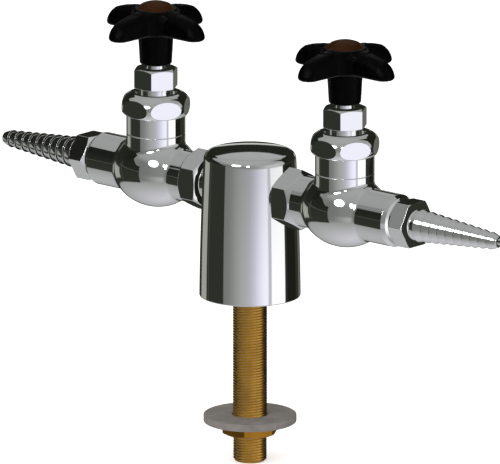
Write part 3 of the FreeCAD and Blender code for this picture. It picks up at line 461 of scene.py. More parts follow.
# %% Index button plastic
# Moulded acetal in a dark brown: satin, with the faint flow of the moulding
acetal, tree, shader, place = new_material("brown_acetal", {"Specular IOR Level": 0.08})
flow = noise(tree, place, 8, 3.0, Distortion=0.8)
tint(tree, shader, flow, (0.3, "#2a1402"), (0.7, "#361b03"))
roughen(tree, shader, flow, 0.3, 0.42)
bump(tree, shader, noise(tree, place, 0.4, 1.0), 0.006)

# %% Finishes on the frame's nodes
FINISHES = {
    "polished_chrome": polished, "stem_chrome": turned_chrome, "threaded_brass": thread_brass,
    "plain_brass": nut_brass, "washer_zinc": zinc, "screw_steel": steel, "seal_rubber": rubber,
    "packing_plastic": packing, "handle_nylon": nylon, "button_plastic": acetal,
}
for part in frame["record"]["subparts"]:
    mesh = frame["nodes"][part["node"]].data
    mesh.materials.clear()
    mesh.materials.append(FINISHES[part["material_slot"]])
print(len(FINISHES), "finishes on", len(frame["nodes"]), "nodes")

# %% [markdown]
# ## Turned pieces
# Nearly every visible piece of this tap is turned on a lathe. In Blender that is a profile that is
# spun round its axis: one point is drawn out, station by station, into the outline of half a
# section, and the spin makes the skin. Sharp corners would look drawn, so each corner of a profile
# becomes a small arc first. A lathe's work also has large plain faces beside tiny roundings, and
# weighted normals keep those faces plain in the reflections.

# %% Profiles
EDGE = 0.25
NEARLY_STRAIGHT = radians(176)
MOST_OF_A_SIDE = 0.48


def swept(middle, start, end, pieces):
    """Points on the arc from start to end about the middle."""
    arm = start - middle
    return [middle + arm.slerp(end - middle, number / pieces) * arm.length
            for number in range(pieces + 1)]


def softened(stations, radius=EDGE, pieces=5):
    """The profile with an arc at each corner. Stations are (radius, place, own rounding) in mm."""
    corners = [Vector(station[:2]) for station in stations]
    smooth = [corners[0]]
    for before, station, corner, after in zip(corners, stations[1:], corners[1:], corners[2:]):
        back, ahead = before - corner, after - corner
        opening = back.angle(ahead)
        wanted = station[2] if len(station) > 2 else radius
        if opening > NEARLY_STRAIGHT or wanted == 0:
            smooth.append(corner)
            continue
        reach = min(wanted / tan(opening / 2), MOST_OF_A_SIDE * back.length,
                    MOST_OF_A_SIDE * ahead.length)
        start, end = corner + back.normalized() * reach, corner + ahead.normalized() * reach
        middle = corner + (back.normalized() + ahead.normalized()).normalized() * (
            reach / cos(opening / 2))
        smooth += swept(middle, start, end, pieces)
    return smooth + [corners[-1]]


def bulge(start, end, radius, pieces=16):
    """Stations on an arc from start to end that bulges out of the piece."""
    start, end = Vector(start), Vector(end)
    half = (end - start) / 2
    across = Vector((-half.y, half.x)).normalized() * sqrt(radius * radius - half.length_squared)
    return [(*point, 0) for point in swept(start + half + across, start, end, pieces)]


def arc_radius(rise, draw):
    """Radius of an arc that leaves a straight side and draws in by that much over that rise."""
    return (rise * rise + draw * draw) / (2 * draw)


def hexagon_reach(flats):
    """From the axis to the corners of a hexagon of that width across flats."""
    return flats / sqrt(3)


# A hexagon's blank stands that far beyond its corners, and its face ends that far inside the flats
SPARE, FACE_EASE = 0.05, 0.3
STEEP, SHALLOW = 30, 18


def chamfer(flats, slope):
    """How far a turned chamfer of that slope in degrees sinks from the flats to the corners."""
    return (hexagon_reach(flats) - flats / 2) * tan(radians(slope))

# %% Lathe
DOUBLES = 0.002 * MM
ON_PLANE = 1e-6
OUTWARDS, BACK, UP = Vector((1, 0, 0)), Vector((0, 1, 0)), Vector((0, 0, 1))
PLAIN_FACES = 80


def point_along(name, places):
    """Draws one vertex out into a chain through the places, in mm."""
    bpy.ops.mesh.primitive_plane_add(size=MM)
    piece = bpy.context.active_object
    piece.name = name
    bpy.ops.object.mode_set(mode="EDIT")
    bpy.ops.mesh.merge(type="CENTER")
    bpy.ops.transform.translate(value=places[0] * MM)
    for before, after in zip(places, places[1:]):
        bpy.ops.mesh.extrude_vertices_move(TRANSFORM_OT_translate={"value": (after - before) * MM})
    bpy.ops.mesh.select_all(action="SELECT")
    return piece


def close_skin():
    """In edit mode: merges doubles and turns all faces outwards."""
    bpy.ops.mesh.select_all(action="SELECT")
    bpy.ops.mesh.remove_doubles(threshold=DOUBLES)
    bpy.ops.mesh.normals_make_consistent(inside=False)
    bpy.ops.object.mode_set(mode="OBJECT")


def turned(name, stations, centre=(0, 0, 0), along="Z", steps=128):
    """Spins a profile round an axis along Z or X through the centre."""
    axis, out = (UP, OUTWARDS) if along == "Z" else (OUTWARDS, UP)
    centre = Vector(centre)
    piece = point_along(name, [centre + out * radius + axis * place
                               for radius, place, *_ in stations])
    bpy.ops.mesh.spin(steps=steps, angle=2 * pi, center=centre * MM, axis=axis)
    close_skin()
    return piece


def cut_flats(piece, across, centre, along="Z", first=0.0):
    """Cuts six spanner flats with a plane each. First is the bearing of a corner."""
    axis, out = (UP, OUTWARDS) if along == "Z" else (OUTWARDS, BACK)
    side = axis.cross(out)
    bpy.context.view_layer.objects.active = piece
    bpy.ops.object.mode_set(mode="EDIT")
    for number in range(6):
        bearing = radians(first) + (number + 0.5) * 2 * pi / 6
        normal = out * cos(bearing) + side * sin(bearing)
        bpy.ops.mesh.select_all(action="SELECT")
        bpy.ops.mesh.bisect(plane_co=(Vector(centre) + normal * across / 2) * MM, plane_no=normal,
                            use_fill=True, clear_outer=True, threshold=ON_PLANE)
    bpy.ops.mesh.select_all(action="SELECT")
    bpy.ops.mesh.normals_make_consistent(inside=False)
    bpy.ops.object.mode_set(mode="OBJECT")


def apply_modifier(piece, kind, **settings):
    bpy.context.view_layer.objects.active = piece
    modifier = piece.modifiers.new(kind.lower(), kind)
    for name, value in settings.items():
        setattr(modifier, name, value)
    bpy.ops.object.modifier_apply(modifier=modifier.name)


def bored(piece, cutters):
    """Takes the cutters away from a piece."""
    for cutter in cutters:
        apply_modifier(piece, "BOOLEAN", operation="DIFFERENCE", object=cutter, solver="EXACT")
        bpy.data.objects.remove(cutter)


def soft_edges(piece, width, pieces=2, angle=25):
    """Rounds every edge sharper than that angle."""
    apply_modifier(piece, "BEVEL", width=width * MM, segments=pieces, limit_method="ANGLE",
                   angle_limit=radians(angle), use_clamp_overlap=True, miter_outer="MITER_ARC")


def smooth(piece, angle=35):
    """Smooth shading up to that angle between faces, with large faces kept plain."""
    bpy.ops.object.select_all(action="DESELECT")
    piece.select_set(True)
    bpy.context.view_layer.objects.active = piece
    bpy.ops.object.shade_smooth_by_angle(angle=radians(angle))
    apply_modifier(piece, "WEIGHTED_NORMAL", keep_sharp=True, weight=PLAIN_FACES)


def join(pieces):
    """Joins the pieces into the first one."""
    bpy.ops.object.select_all(action="DESELECT")
    for piece in pieces:
        piece.select_set(True)
    bpy.context.view_layer.objects.active = pieces[0]
    bpy.ops.object.join()
    return pieces[0]


def dress(piece, finish, node):
    """Finish and body of a piece that stands for a node of the frame."""
    piece.data.materials.clear()
    piece.data.materials.append(FINISHES[finish])
    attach(piece, frame["nodes"][node]["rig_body"])
    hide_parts(node)
    print(piece.name, len(piece.data.polygons), "faces,",
          [round(side / MM, 1) for side in piece.dimensions], "mm")


def second(piece):
    """The same piece on the other valve: its own mesh, turned half round the turret."""
    bpy.ops.object.select_all(action="DESELECT")
    piece.select_set(True)
    bpy.context.view_layer.objects.active = piece
    bpy.ops.object.duplicate()
    copy = bpy.context.active_object
    copy.name = piece.name.replace("right", "left")
    copy.rotation_euler.z = pi
    bpy.ops.object.transform_apply()
    return copy


def pair(piece, finish, node, angle=35):
    """Smooths a right piece, and dresses it and its copy on the left valve."""
    smooth(piece, angle)
    dress(piece, finish, "right_" + node)
    dress(second(piece), finish, "left_" + node)

# %% [markdown]
# ## Turret
# The turret is one brass casting, turned outside and hollow under its head, with a faced port on
# each side. Polish and chrome leave no tool marks. It is spun from its section, and each port is
# bored by a boolean, as a drill would do it.

# %% Turret
AXIS_HEIGHT = 54.4
BASE, SHOULDER, SIDE_HEIGHT, CORNER = 25.4, 23.2, 70.15, 4.05
CROWN_SLOPE = radians(9)
SIDE_BULGE = 1676.0
TURRET_WALL, SKIRT = 3.2, 36.0
WATERWAY, SHANK_HOLE, SHANK_GRIP, HOLLOW_CORNER = 5.5, 8.62, 10.5, 3.0
PORT, PORT_FLOOR, PORT_FACING, PORT_FACE, PAST_SIDE = 8.55, 9.5, 10.4, 21.4, 30

crown_edge = (SHOULDER - CORNER + CORNER * sin(CROWN_SLOPE),
              SIDE_HEIGHT + CORNER * cos(CROWN_SLOPE))
dome = crown_edge[0] / sin(CROWN_SLOPE)
crown_top = crown_edge[1] + dome * (1 - cos(CROWN_SLOPE))
hollow_top = BASE - (BASE - SHOULDER) / SIDE_HEIGHT * SKIRT - TURRET_WALL
outside = [(BASE - TURRET_WALL, 0), (BASE, 0, 0.6)]
outside += bulge((BASE, 0), (SHOULDER, SIDE_HEIGHT), SIDE_BULGE, 12)[1:]
outside += bulge((SHOULDER, SIDE_HEIGHT), crown_edge, CORNER, 14)[1:]
outside += bulge(crown_edge, (0, crown_top), dome, 40)[1:]
inside = [(0, AXIS_HEIGHT), (WATERWAY, AXIS_HEIGHT, 0), (WATERWAY, SKIRT + SHANK_GRIP),
          (SHANK_HOLE, SKIRT + SHANK_GRIP), (SHANK_HOLE, SKIRT),
          (hollow_top, SKIRT, HOLLOW_CORNER), (BASE - TURRET_WALL, 0)]
turret = turned("turret", softened(inside) + softened(outside)[1:], steps=192)
ports = []
for way in (1, -1):
    ports.append(turned("port", [
        (0, 0), (WATERWAY, 0), (WATERWAY, PORT_FLOOR * way), (PORT, PORT_FLOOR * way),
        (PORT, PORT_FACE * way), (PORT_FACING, PORT_FACE * way), (PORT_FACING, PAST_SIDE * way),
        (0, PAST_SIDE * way)], (0, 0, AXIS_HEIGHT), "X", 96))
bored(turret, ports)
smooth(turret)
dress(turret, "polished_chrome", "turret_body")

# %% [markdown]
# ## Shank, washer and locknut
# The shank is a brass tube threaded from end to end with 18 turns to the inch. The Screw modifier
# winds one turn's profile up the axis, which is what a threading tool does. The winding is cut off
# square at both ends, its cut edges are drawn in to the bore, and the points beyond the bevels are
# brought in to them. The fine ridges are real geometry, because the brass gets its look from them.

# %% Threaded shank
PITCH = 25.4 / 18
SHANK, THREAD_DEPTH, SHANK_BORE = 8.57, 0.66, 6.25
SHANK_LOW, SHANK_HIGH = -85.5, 46.5
THREAD_STEPS = 64
END_BEVEL, START_RELIEF, RELIEF_LENGTH = 1.3, 0.2, 12.5
CREST_EASE, SPARE_TURNS, BORE_MARGIN = 0.05, 2, 0.5
root = SHANK - THREAD_DEPTH
# One turn, as radius and share of the pitch
turn_profile = [(root, 0), (root, 0.08), (SHANK - CREST_EASE, 0.36), (SHANK, 0.4), (SHANK, 0.68),
                (SHANK - CREST_EASE, 0.72), (root, 1.0)]
thread = point_along("shank", [Vector((radius, 0, SHANK_LOW + (place - SPARE_TURNS) * PITCH))
                               for radius, place in turn_profile])
bpy.ops.object.mode_set(mode="OBJECT")
turns = int((SHANK_HIGH - SHANK_LOW) / PITCH) + 2 * SPARE_TURNS
apply_modifier(thread, "SCREW", axis="Z", angle=2 * pi, screw_offset=PITCH * MM,
               iterations=turns, steps=THREAD_STEPS, render_steps=THREAD_STEPS,
               use_merge_vertices=True, merge_threshold=DOUBLES, use_smooth_shade=False)
bpy.ops.object.mode_set(mode="EDIT")
for place, way in ((SHANK_LOW, -1), (SHANK_HIGH, 1)):
    bpy.ops.mesh.select_all(action="SELECT")
    bpy.ops.mesh.bisect(plane_co=(0, 0, place * MM), plane_no=(0, 0, way), clear_outer=True,
                        threshold=ON_PLANE)
bpy.ops.mesh.select_all(action="DESELECT")
bpy.ops.mesh.select_non_manifold()
bpy.ops.mesh.extrude_region()
bpy.ops.transform.resize(value=(SHANK_BORE / SHANK, SHANK_BORE / SHANK, 1),
                         center_override=(0, 0, 0))
bpy.ops.mesh.bridge_edge_loops()
bpy.ops.object.mode_set(mode="OBJECT")

# The ends are turned down to their bevels, and the bore is made round
for point in thread.data.vertices:
    place, radius = point.co.z / MM, point.co.xy.length / MM
    from_low, from_high = place - SHANK_LOW, SHANK_HIGH - place
    limit = min(SHANK - START_RELIEF * (from_low < RELIEF_LENGTH),
                SHANK - END_BEVEL + from_low, SHANK - END_BEVEL + from_high)
    if radius < root - BORE_MARGIN:
        limit = SHANK_BORE
    elif radius <= limit:
        continue
    point.co.xy *= limit / radius
bpy.ops.object.mode_set(mode="EDIT")
close_skin()
smooth(thread, 40)
dress(thread, "threaded_brass", "mounting_shank")

# %% Washer
WASHER_TOP, WASHER_THICK, WASHER_HOLE, WASHER_RADIUS = -61.5, 3.7, 8.97, 23.35
WASHER_EDGE = 0.5
washer_foot, washer_middle = WASHER_TOP - WASHER_THICK, WASHER_TOP - WASHER_THICK / 2
washer = turned("washer", softened([
    (WASHER_HOLE, washer_middle), (WASHER_HOLE, WASHER_TOP),
    (WASHER_RADIUS, WASHER_TOP, WASHER_EDGE), (WASHER_RADIUS, washer_foot, WASHER_EDGE),
    (WASHER_HOLE, washer_foot), (WASHER_HOLE, washer_middle)]), steps=160)
smooth(washer)
dress(washer, "washer_zinc", "mounting_washer")

# %% Locknut
NUT_THICK, NUT_FLATS = 6.3, 25.4
NUT_FACE = NUT_FLATS / 2 - 0.4
nut_foot, nut_middle = washer_foot - NUT_THICK, washer_foot - 3
nut_reach = hexagon_reach(NUT_FLATS) + 2 * SPARE
locknut = turned("locknut", [
    (SHANK_HOLE, nut_middle), (SHANK_HOLE, washer_foot), (nut_reach, washer_foot),
    (nut_reach, nut_foot + chamfer(NUT_FLATS, STEEP)), (NUT_FACE, nut_foot),
    (SHANK_HOLE, nut_foot), (SHANK_HOLE, nut_middle)], steps=120)
cut_flats(locknut, NUT_FLATS, (0, 0, 0))
soft_edges(locknut, 0.2)
smooth(locknut)
dress(locknut, "plain_brass", "mounting_locknut")

# %% [markdown]
# ## Valve casting
# A globe valve's body is cast in one: a round belly, two arms and a neck that flow into each
# other. Its faces are then turned. The belly is made as a founder would make the pattern, from
# plain bodies that are fused: a voxel remesh joins them, and then each point is set exactly on the
# blended surface, because a mirror shows the voxels' small steps otherwise. The turned ends are
# drawn out of the cut edges.

# %% Casting
REACH = 62.7
CENTRE = Vector((REACH, 0, AXIS_HEIGHT))
BELLY_LONG, BALL, INLET_ARM, OUTLET_ARM, NECK = 23.8, 18.8, 12.9, 13.3, 14.85
BLEND, ARM_CHANGE = 0.8, 4
ARMS_LONG, NECK_LONG, ARMS_UNDER, INLET_ARM_END = 56, 24, 0.2, 36.0
CUT_IN, CUT_OUT, CUT_UP = -22.0, 25.0, 18.7
VOXEL = 0.42
NUDGE, LEAST_SLOPE, ROUNDS = 1e-3, 0.2, 8


def fused(first, second, radius):
    """The union of two forms, with a hollow of that radius between them."""
    corner = np.hypot(np.maximum(radius - first, 0), np.maximum(radius - second, 0))
    return np.maximum(radius, np.minimum(first, second)) - corner


def settle(piece, distance):
    """Sets each point of a piece on the form that the distance function gives."""
    points = np.empty(len(piece.data.vertices) * 3)
    piece.data.vertices.foreach_get("co", points)
    points = points.reshape(-1, 3) / MM - CENTRE
    nudges = np.eye(3) * NUDGE
    for _ in range(ROUNDS):
        away = distance(points)
        slope = np.stack([distance(points + nudge) - distance(points - nudge)
                          for nudge in nudges], axis=1) / (2 * NUDGE)
        steep = np.maximum((slope ** 2).sum(axis=1), LEAST_SLOPE)
        points -= slope * (away / steep)[:, None]
    piece.data.vertices.foreach_set("co", ((points + CENTRE) * MM).ravel())
    piece.data.update()
    print(piece.name, len(points), "points set, nearly all within",
          round(float(np.percentile(abs(distance(points)), 99)), 4), "mm")


def casting_distance(points):
    """Signed distance to the blended casting, in mm, for points about the valve's centre."""
    x, y, z = points.T
    ball = np.sqrt((x * BALL / BELLY_LONG) ** 2 + y * y + z * z) - BALL
    arm = (INLET_ARM + OUTLET_ARM) / 2 + (OUTLET_ARM - INLET_ARM) / 2 * np.tanh(x / ARM_CHANGE)
    arms = np.sqrt(y * y + z * z) - arm
    neck = np.sqrt(x * x + y * y + np.minimum(z, 0) ** 2) - NECK
    return fused(fused(ball, neck, BLEND), arms, BLEND)


bpy.ops.mesh.primitive_uv_sphere_add(segments=96, ring_count=48, radius=BALL * MM,
                                     location=CENTRE * MM)
casting = bpy.context.active_object
casting.name = "right_valve_casting"
casting.scale.x = BELLY_LONG / BALL
bpy.ops.mesh.primitive_cylinder_add(vertices=96, radius=(OUTLET_ARM - ARMS_UNDER) * MM,
                                    depth=ARMS_LONG * MM, location=CENTRE * MM,
                                    rotation=(0, pi / 2, 0))
arms = bpy.context.active_object
bpy.ops.mesh.primitive_cylinder_add(
    vertices=96, radius=NECK * MM, depth=NECK_LONG * MM,
    location=(CENTRE + UP * NECK_LONG / 2) * MM)
neck = bpy.context.active_object
join([casting, arms, neck])
bpy.ops.object.transform_apply()
apply_modifier(casting, "REMESH", mode="VOXEL", voxel_size=VOXEL * MM)
settle(casting, casting_distance)

# %% Turned ends of the casting
def cut_away(place, normal):
    """Cuts the piece in hand through with a plane, and leaves the cut edge selected."""
    bpy.ops.mesh.select_all(action="SELECT")
    bpy.ops.mesh.bisect(plane_co=(CENTRE + place) * MM, plane_no=normal, clear_outer=True)


def draw_on(stations, along):
    """Draws the selected edge on through (radius, place) stations. The first is where it is."""
    radius, place = stations[0][:2]
    for next_radius, next_place, *_ in stations[1:]:
        bpy.ops.mesh.extrude_region()
        bpy.ops.transform.translate(value=along * (next_place - place) * MM)
        factor = next_radius / radius
        bpy.ops.transform.resize(value=(1, factor, factor) if along.x else (factor, factor, 1),
                                 center_override=(CENTRE + along * next_place) * MM)
        radius, place = next_radius, next_place


CHAMBER, CHAMBER_FLOOR, RIM = 10.5, 3.5, 31.0
SOCKET, SOCKET_FLOOR, OUTLET_FACE, WEB_BORE = 9.6, 24.3, 37.3, 4.3
CAP_THREAD, CAP_THREAD_LOW, GROOVE, GROOVE_DEPTH, GROOVE_HALF = 14.0, 28.6, 19.0, 0.3, 0.25
inlet_end = [(INLET_ARM, -CUT_IN), (INLET_ARM, INLET_ARM_END)]
outlet_end = [(OUTLET_ARM, CUT_OUT), (OUTLET_ARM, 34.9), (11.9, 36.7), (SOCKET, OUTLET_FACE),
              (SOCKET, SOCKET_FLOOR), (WEB_BORE, SOCKET_FLOOR)]
neck_end = [(NECK, CUT_UP), (NECK, GROOVE - GROOVE_HALF), (NECK - GROOVE_DEPTH, GROOVE),
            (NECK, GROOVE + GROOVE_HALF), (NECK, CAP_THREAD_LOW), (CAP_THREAD, CAP_THREAD_LOW),
            (CAP_THREAD, RIM), (CHAMBER, RIM), (CHAMBER, CHAMBER_FLOOR), (0.5, CHAMBER_FLOOR)]
bpy.ops.object.mode_set(mode="EDIT")
for place, way, stations, corner in (
        (OUTWARDS * CUT_IN, -OUTWARDS, inlet_end, 0.2),
        (OUTWARDS * CUT_OUT, OUTWARDS, outlet_end, 0.3), (UP * CUT_UP, UP, neck_end, 0.2)):
    cut_away(place, way)
    draw_on(softened(stations, corner, 4), way)
    bpy.ops.mesh.edge_face_add()
close_skin()

# %% [markdown]
# The inlet hexagon, with which the valve is screwed into the turret, is turned down to the arm at
# 45 degrees on its outer side. Behind it the round collar and the threaded spigot go into the
# port.

# %% Inlet hexagon and passages
HEX_FLATS, HEX_FACE, HEX_LENGTH = 27.2, -37.3, 8.8
COLLAR, COLLAR_END, SPIGOT, SPIGOT_END, SPIGOT_LEAD = 10.0, -41.3, 8.5, -53.2, 1
PASSAGE, PASSAGE_END = 4.0, -24.0
hex_reach, arm_inside = hexagon_reach(HEX_FLATS), INLET_ARM - ARMS_UNDER
hexagon = turned("hexagon", [
    (PASSAGE, SPIGOT_END), (SPIGOT - SPIGOT_LEAD, SPIGOT_END), (SPIGOT, SPIGOT_END + SPIGOT_LEAD),
    (SPIGOT, COLLAR_END), (COLLAR, COLLAR_END), (COLLAR, HEX_FACE),
    (HEX_FLATS / 2 - FACE_EASE, HEX_FACE),
    (hex_reach + SPARE, HEX_FACE + chamfer(HEX_FLATS, SHALLOW)),
    (hex_reach + SPARE, HEX_FACE + HEX_LENGTH),
    (arm_inside, HEX_FACE + HEX_LENGTH + hex_reach - arm_inside), (PASSAGE, PASSAGE_END),
    (PASSAGE, SPIGOT_END)], CENTRE, "X", 120)
cut_flats(hexagon, HEX_FLATS, CENTRE, "X", 90)
soft_edges(hexagon, 0.25, 3)
smooth(casting)
join([casting, hexagon])
pair(casting, "polished_chrome", "valve_body")

# %% [markdown]
# ## Nuts over the valve
# The bonnet nut is a domed ring with six flats for the spanner. They are cut into the turned dome,
# so each flat ends in an arch. The packing nut is plain hexagon bar with turned ends.

# %% Bonnet nut
CAP_LOW, CAP_BELT, CAP_TOP = 28.8, 33.0, 40.0
CAP_FOOT, CAP_WIDEST, CAP_CROWN, CAP_HOLE, CAP_FLATS = 15.8, 17.9, 12.5, 9.9, 32.0
CAP_BORE, CAP_CEILING, CAP_START, CAP_EASE = 14.05, 34.2, 30.0, 0.6
cap_outline = [(CAP_BORE, CAP_START), (CAP_BORE, CAP_LOW), (CAP_FOOT, CAP_LOW, 0.3)]
cap_outline += bulge((CAP_FOOT, CAP_LOW), (CAP_WIDEST, CAP_BELT),
                     arc_radius(CAP_BELT - CAP_LOW, CAP_WIDEST - CAP_FOOT), 10)[1:]
cap_outline += bulge((CAP_WIDEST, CAP_BELT), (CAP_CROWN, CAP_TOP),
                     arc_radius(CAP_TOP - CAP_BELT, CAP_WIDEST - CAP_CROWN), 16)[1:-1]
cap_outline += [(CAP_CROWN, CAP_TOP, 0.5), (CAP_HOLE + CAP_EASE, CAP_TOP, 0.2),
                (CAP_HOLE, CAP_TOP - CAP_EASE, 0.2), (CAP_HOLE, CAP_CEILING),
                (CAP_BORE, CAP_CEILING), (CAP_BORE, CAP_START)]
bonnet_nut = turned("right_bonnet_nut_cap", softened(cap_outline), CENTRE, steps=192)
cut_flats(bonnet_nut, CAP_FLATS, CENTRE)
soft_edges(bonnet_nut, 0.3, 3, 12)
pair(bonnet_nut, "polished_chrome", "bonnet_nut")

# %% Packing nut
PACKING_LOW, PACKING_HIGH, PACKING_FLATS = 42.4, 52.6, 20.0
PACKING_BORE, STEM_HOLE, PACKING_CEILING, PACKING_START = 7.75, 4.66, 50.6, 47.0
reach, packing_face = hexagon_reach(PACKING_FLATS) + SPARE, PACKING_FLATS / 2 - FACE_EASE
packing_nut = turned("right_packing_nut_hexagon", [
    (PACKING_BORE, PACKING_START), (PACKING_BORE, PACKING_LOW), (packing_face, PACKING_LOW),
    (reach, PACKING_LOW + chamfer(PACKING_FLATS, SHALLOW)),
    (reach, PACKING_HIGH - chamfer(PACKING_FLATS, STEEP)), (packing_face, PACKING_HIGH),
    (STEM_HOLE + FACE_EASE, PACKING_HIGH), (STEM_HOLE, PACKING_HIGH - FACE_EASE),
    (STEM_HOLE, PACKING_CEILING), (PACKING_BORE, PACKING_CEILING), (PACKING_BORE, PACKING_START)],
    CENTRE, steps=120)
cut_flats(packing_nut, PACKING_FLATS, CENTRE)
soft_edges(packing_nut, 0.25, 3)
pair(packing_nut, "polished_chrome", "packing_nut")

# %% [markdown]
# ## Hose nozzle
# Ten serrations of a slow taper, each with its steep side towards the valve, hold a pushed-on
# hose. They are turned from the same bar as the hexagon, so one profile gives them all.

# %% Hose nozzle
NOZZLE_FACE, NOZZLE_HEX_END, NOZZLE_FLATS = 38.5, 47.7, 22.2
CRESTS, CREST_PITCH, CREST_DEPTH, CREST_LAND = 10, 5.0, 1.15, 0.2
FLANK_BULGE = 80.0
TIP_CREST, CREST_GROWTH, TIP_RADIUS, TIP_LENGTH, NOZZLE_BORE = 4.5, 0.4175, 2.74, 5.2, 1.6
FEED, FEED_END, TAIL, TAIL_END, SHOULDER_END, NOZZLE_SHOULDER = 4.5, 43.1, 9.55, 25.3, 37.3, 10.5
ROOT_LENGTH, CREST_EDGE, HEX_BEVEL, HEX_INSIDE, HEX_START = 3.3, 0.1, 0.35, 10.0, 40.0
first_crest = NOZZLE_HEX_END + ROOT_LENGTH
crest = TIP_CREST + CREST_GROWTH * (CRESTS - 1)
profile = [(FEED, TAIL_END), (TAIL - 1, TAIL_END), (TAIL, TAIL_END + 1), (TAIL, SHOULDER_END),
           (NOZZLE_SHOULDER, SHOULDER_END), (NOZZLE_SHOULDER, NOZZLE_HEX_END),
           (crest - CREST_DEPTH, NOZZLE_HEX_END, 0.8)]
for number in range(CRESTS):
    place = first_crest + CREST_PITCH * number
    height = crest - CREST_GROWTH * number
    next_root = (height - CREST_GROWTH - CREST_DEPTH, place + CREST_PITCH)
    profile += [(height - CREST_DEPTH, place, CREST_EDGE), (height, place, CREST_EDGE)]
    profile += bulge((height, place + CREST_LAND), next_root, FLANK_BULGE, 6)[:-1]
tip = first_crest + CREST_PITCH * (CRESTS - 1) + TIP_LENGTH
profile += [(TIP_RADIUS, tip, 0.3), (NOZZLE_BORE, tip, 0.2), (NOZZLE_BORE, 46), (FEED, FEED_END),
            (FEED, TAIL_END)]
nozzle = turned("right_hose_nozzle", softened(profile, 0.2, 4), CENTRE, "X", 128)
reach = hexagon_reach(NOZZLE_FLATS) + SPARE
nozzle_hex = turned("nozzle_hexagon", [
    (HEX_INSIDE, HEX_START), (HEX_INSIDE, NOZZLE_FACE),
    (NOZZLE_FLATS / 2 - FACE_EASE, NOZZLE_FACE),
    (reach, NOZZLE_FACE + chamfer(NOZZLE_FLATS, STEEP)), (reach, NOZZLE_HEX_END - HEX_BEVEL),
    (reach - 2 * HEX_BEVEL, NOZZLE_HEX_END), (HEX_INSIDE, NOZZLE_HEX_END),
    (HEX_INSIDE, HEX_START)], CENTRE, "X", 120)
cut_flats(nozzle_hex, NOZZLE_FLATS, CENTRE, "X", 0)
soft_edges(nozzle_hex, 0.25, 3)
smooth(nozzle)
smooth(nozzle_hex)
join([nozzle, nozzle_hex])
pair(nozzle, "polished_chrome", "outlet_nozzle")

# %% [markdown]
# ## Handle
# The handle is one nylon moulding with four arms, flat below and rounded above. As with the
# casting, plain bodies are fused first, and then each point is set on the finished form. Its well,
# its square hole and its recess are cut last, because they are sharp. The handles of the closed
# tap stand two degrees off the arms.

# %% Handle
HANDLE_TURN = 2.0
CROWN, HUB_END, UNDERSIDE = 83.2, 54.7, 70.7
HUB_LOW, HUB_HIGH, HUB_EDGE = 8.05, 8.95, 1.0
ARM_REACH, ARM_TIP, ARM_TAPER, HOLLOW = 31.78, 5.7, radians(1.0), 6.0
BOSS, BOSS_EDGE = 11.2, 0.8
CROWN_FLAT, CROWN_RADIUS = 9.65, 46.0
TOP_WIDE, TOP_TALL, LOWER_EDGE = 6.5, 6.5, 1.8
HUB_TOP, MIDDLE, ARM_TALL = CROWN - 3, 15.0, 7.4
BOSS_HOLLOW, HUB_HOLLOW = 1.0, 0.6


def rounded_corner(first, second, radius):
    """What two forms share, with an edge of that radius."""
    corner = np.hypot(np.maximum(radius + first, 0), np.maximum(radius + second, 0))
    return np.minimum(-radius, np.maximum(first, second)) + corner


def handle_distance(points):
    """Signed distance to the moulding, in mm, for points about the valve's centre."""
    x, y, z = points.T
    away = np.hypot(x, y)
    plan = None
    for along, side in ((abs(x), abs(y)), (abs(y), abs(x))):
        from_tip = along - (ARM_REACH - ARM_TIP)
        flank = side - ARM_TIP + from_tip * tan(ARM_TAPER)
        arm = np.where(from_tip > 0, np.hypot(from_tip, side) - ARM_TIP, flank)
        plan = arm if plan is None else fused(plan, arm, HOLLOW)
    fall = np.maximum(away - CROWN_FLAT, 0)
    top = CROWN - CROWN_RADIUS + np.sqrt(np.maximum(CROWN_RADIUS ** 2 - fall ** 2, 1))
    over = np.hypot(np.maximum(plan + TOP_WIDE, 0) / TOP_WIDE,
                    np.maximum(z - top + TOP_TALL, 0) / TOP_TALL)
    boss = rounded_corner(away - BOSS, z - CROWN, BOSS_EDGE)
    whole = fused((over - 1) * TOP_WIDE, boss, BOSS_HOLLOW)
    whole = rounded_corner(whole, UNDERSIDE - z, LOWER_EDGE)
    hub = away - HUB_LOW - (HUB_HIGH - HUB_LOW) * (z - HUB_END) / (UNDERSIDE - HUB_END)
    hub = rounded_corner(hub, HUB_END - z, HUB_EDGE)
    return fused(whole, np.maximum(hub, z - HUB_TOP), HUB_HOLLOW)


bodies = []
for radius, low_end, high_end in ((HUB_HIGH, HUB_END, HUB_TOP), (MIDDLE, UNDERSIDE, CROWN - 0.5)):
    bpy.ops.mesh.primitive_cylinder_add(
        vertices=96, radius=radius * MM, depth=(high_end - low_end) * MM,
        location=(CENTRE + UP * (low_end + high_end) / 2) * MM)
    bodies.append(bpy.context.active_object)
for turn in (0, pi / 2):
    bpy.ops.mesh.primitive_cube_add(size=1, rotation=(0, 0, turn),
                                    location=(CENTRE + UP * (UNDERSIDE + ARM_TALL / 2)) * MM)
    bar = bpy.context.active_object
    bar.scale = (2 * (ARM_REACH - 1) * MM, 2 * ARM_TIP * MM, ARM_TALL * MM)
    bodies.append(bar)
handle = join(bodies)
handle.name = "right_moulded_handle"
bpy.ops.object.transform_apply()
apply_modifier(handle, "REMESH", mode="VOXEL", voxel_size=VOXEL * MM)
settle(handle, handle_distance)

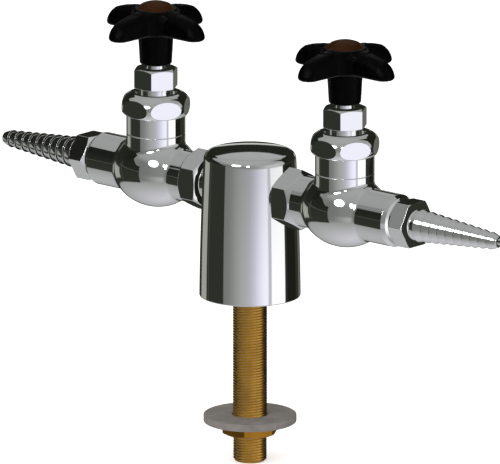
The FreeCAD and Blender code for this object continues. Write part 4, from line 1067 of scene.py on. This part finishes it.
# %% Holes in the handle
WELL, WELL_FLOOR, RIM_SEAT, BUTTON = 7.05, 75.7, 82.4, 9.5
SQUARE, WEB_UNDER, RECESS, RECESS_TOP, SCREW_HOLE, PLAY = 6.32, 73.2, 4.8, 57.15, 1.9, 0.15
seat = BUTTON + PLAY
well = turned("well", [(0, WELL_FLOOR), (WELL, WELL_FLOOR), (WELL, RIM_SEAT), (seat, RIM_SEAT),
                       (seat, CROWN + 2), (0, CROWN + 2)], CENTRE, steps=96)
screw_hole = turned("screw_hole", [(0, HUB_END - 1), (SCREW_HOLE, HUB_END - 1),
                                   (SCREW_HOLE, CROWN), (0, CROWN)], CENTRE, steps=48)
recess = turned("recess", [(0, HUB_END - 1), (RECESS, HUB_END - 1), (RECESS, RECESS_TOP),
                           (0, RECESS_TOP)], CENTRE, steps=64)
bpy.ops.mesh.primitive_cube_add(size=1, location=(CENTRE + UP * (HUB_END + WEB_UNDER) / 2) * MM)
square = bpy.context.active_object
square.scale = (SQUARE * MM, SQUARE * MM, (WEB_UNDER - HUB_END) * MM)
bpy.ops.object.transform_apply()
bored(handle, [well, screw_hole, recess, square])
bpy.ops.object.mode_set(mode="EDIT")
bpy.ops.mesh.select_all(action="SELECT")
bpy.ops.transform.rotate(value=radians(HANDLE_TURN), orient_axis="Z",
                         center_override=CENTRE * MM)
bpy.ops.object.mode_set(mode="OBJECT")
pair(handle, "handle_nylon", "handle", 40)

# %% [markdown]
# ## Index button
# A button for hot or cold water snaps into the handle: a domed disc with a bevelled rim and a thin
# ring below. It has no mark here.

# %% Index button
BUTTON_RIM, BUTTON_BEVEL, BUTTON_TOP = 82.9, 85.2, 86.8
BEVEL_DRAW, RING, RING_WALL, RING_END = 2.2, 6.9, 1.0, 79.2
bevel_edge = (BUTTON - BEVEL_DRAW, BUTTON_BEVEL)
button_outline = [(0, RIM_SEAT), (RING - RING_WALL, RIM_SEAT), (RING - RING_WALL, RING_END),
                  (RING, RING_END), (RING, RIM_SEAT, 0.3), (BUTTON, RIM_SEAT, 0.2),
                  (BUTTON, BUTTON_RIM, 0.3), (*bevel_edge, 0.5)]
button_outline += bulge(bevel_edge, (0, BUTTON_TOP),
                        arc_radius(bevel_edge[0], BUTTON_TOP - BUTTON_BEVEL), 20)[1:]
button = turned("right_button_dome", softened(button_outline), CENTRE, steps=128)
pair(button, "button_plastic", "index_button")

# %% [markdown]
# ## Mirror rays
# In the photograph the chrome mirrors the studio alone: no valve shows in the turret, and no
# handle in a nut. So mirror rays pass through all the pieces here, and only the near flags stop
# them. The lamps still cast true shadows.

# %% Mirror rays
for thing in bpy.context.scene.objects:
    if thing.type == "MESH" and thing not in near_flags:
        thing.visible_glossy = False
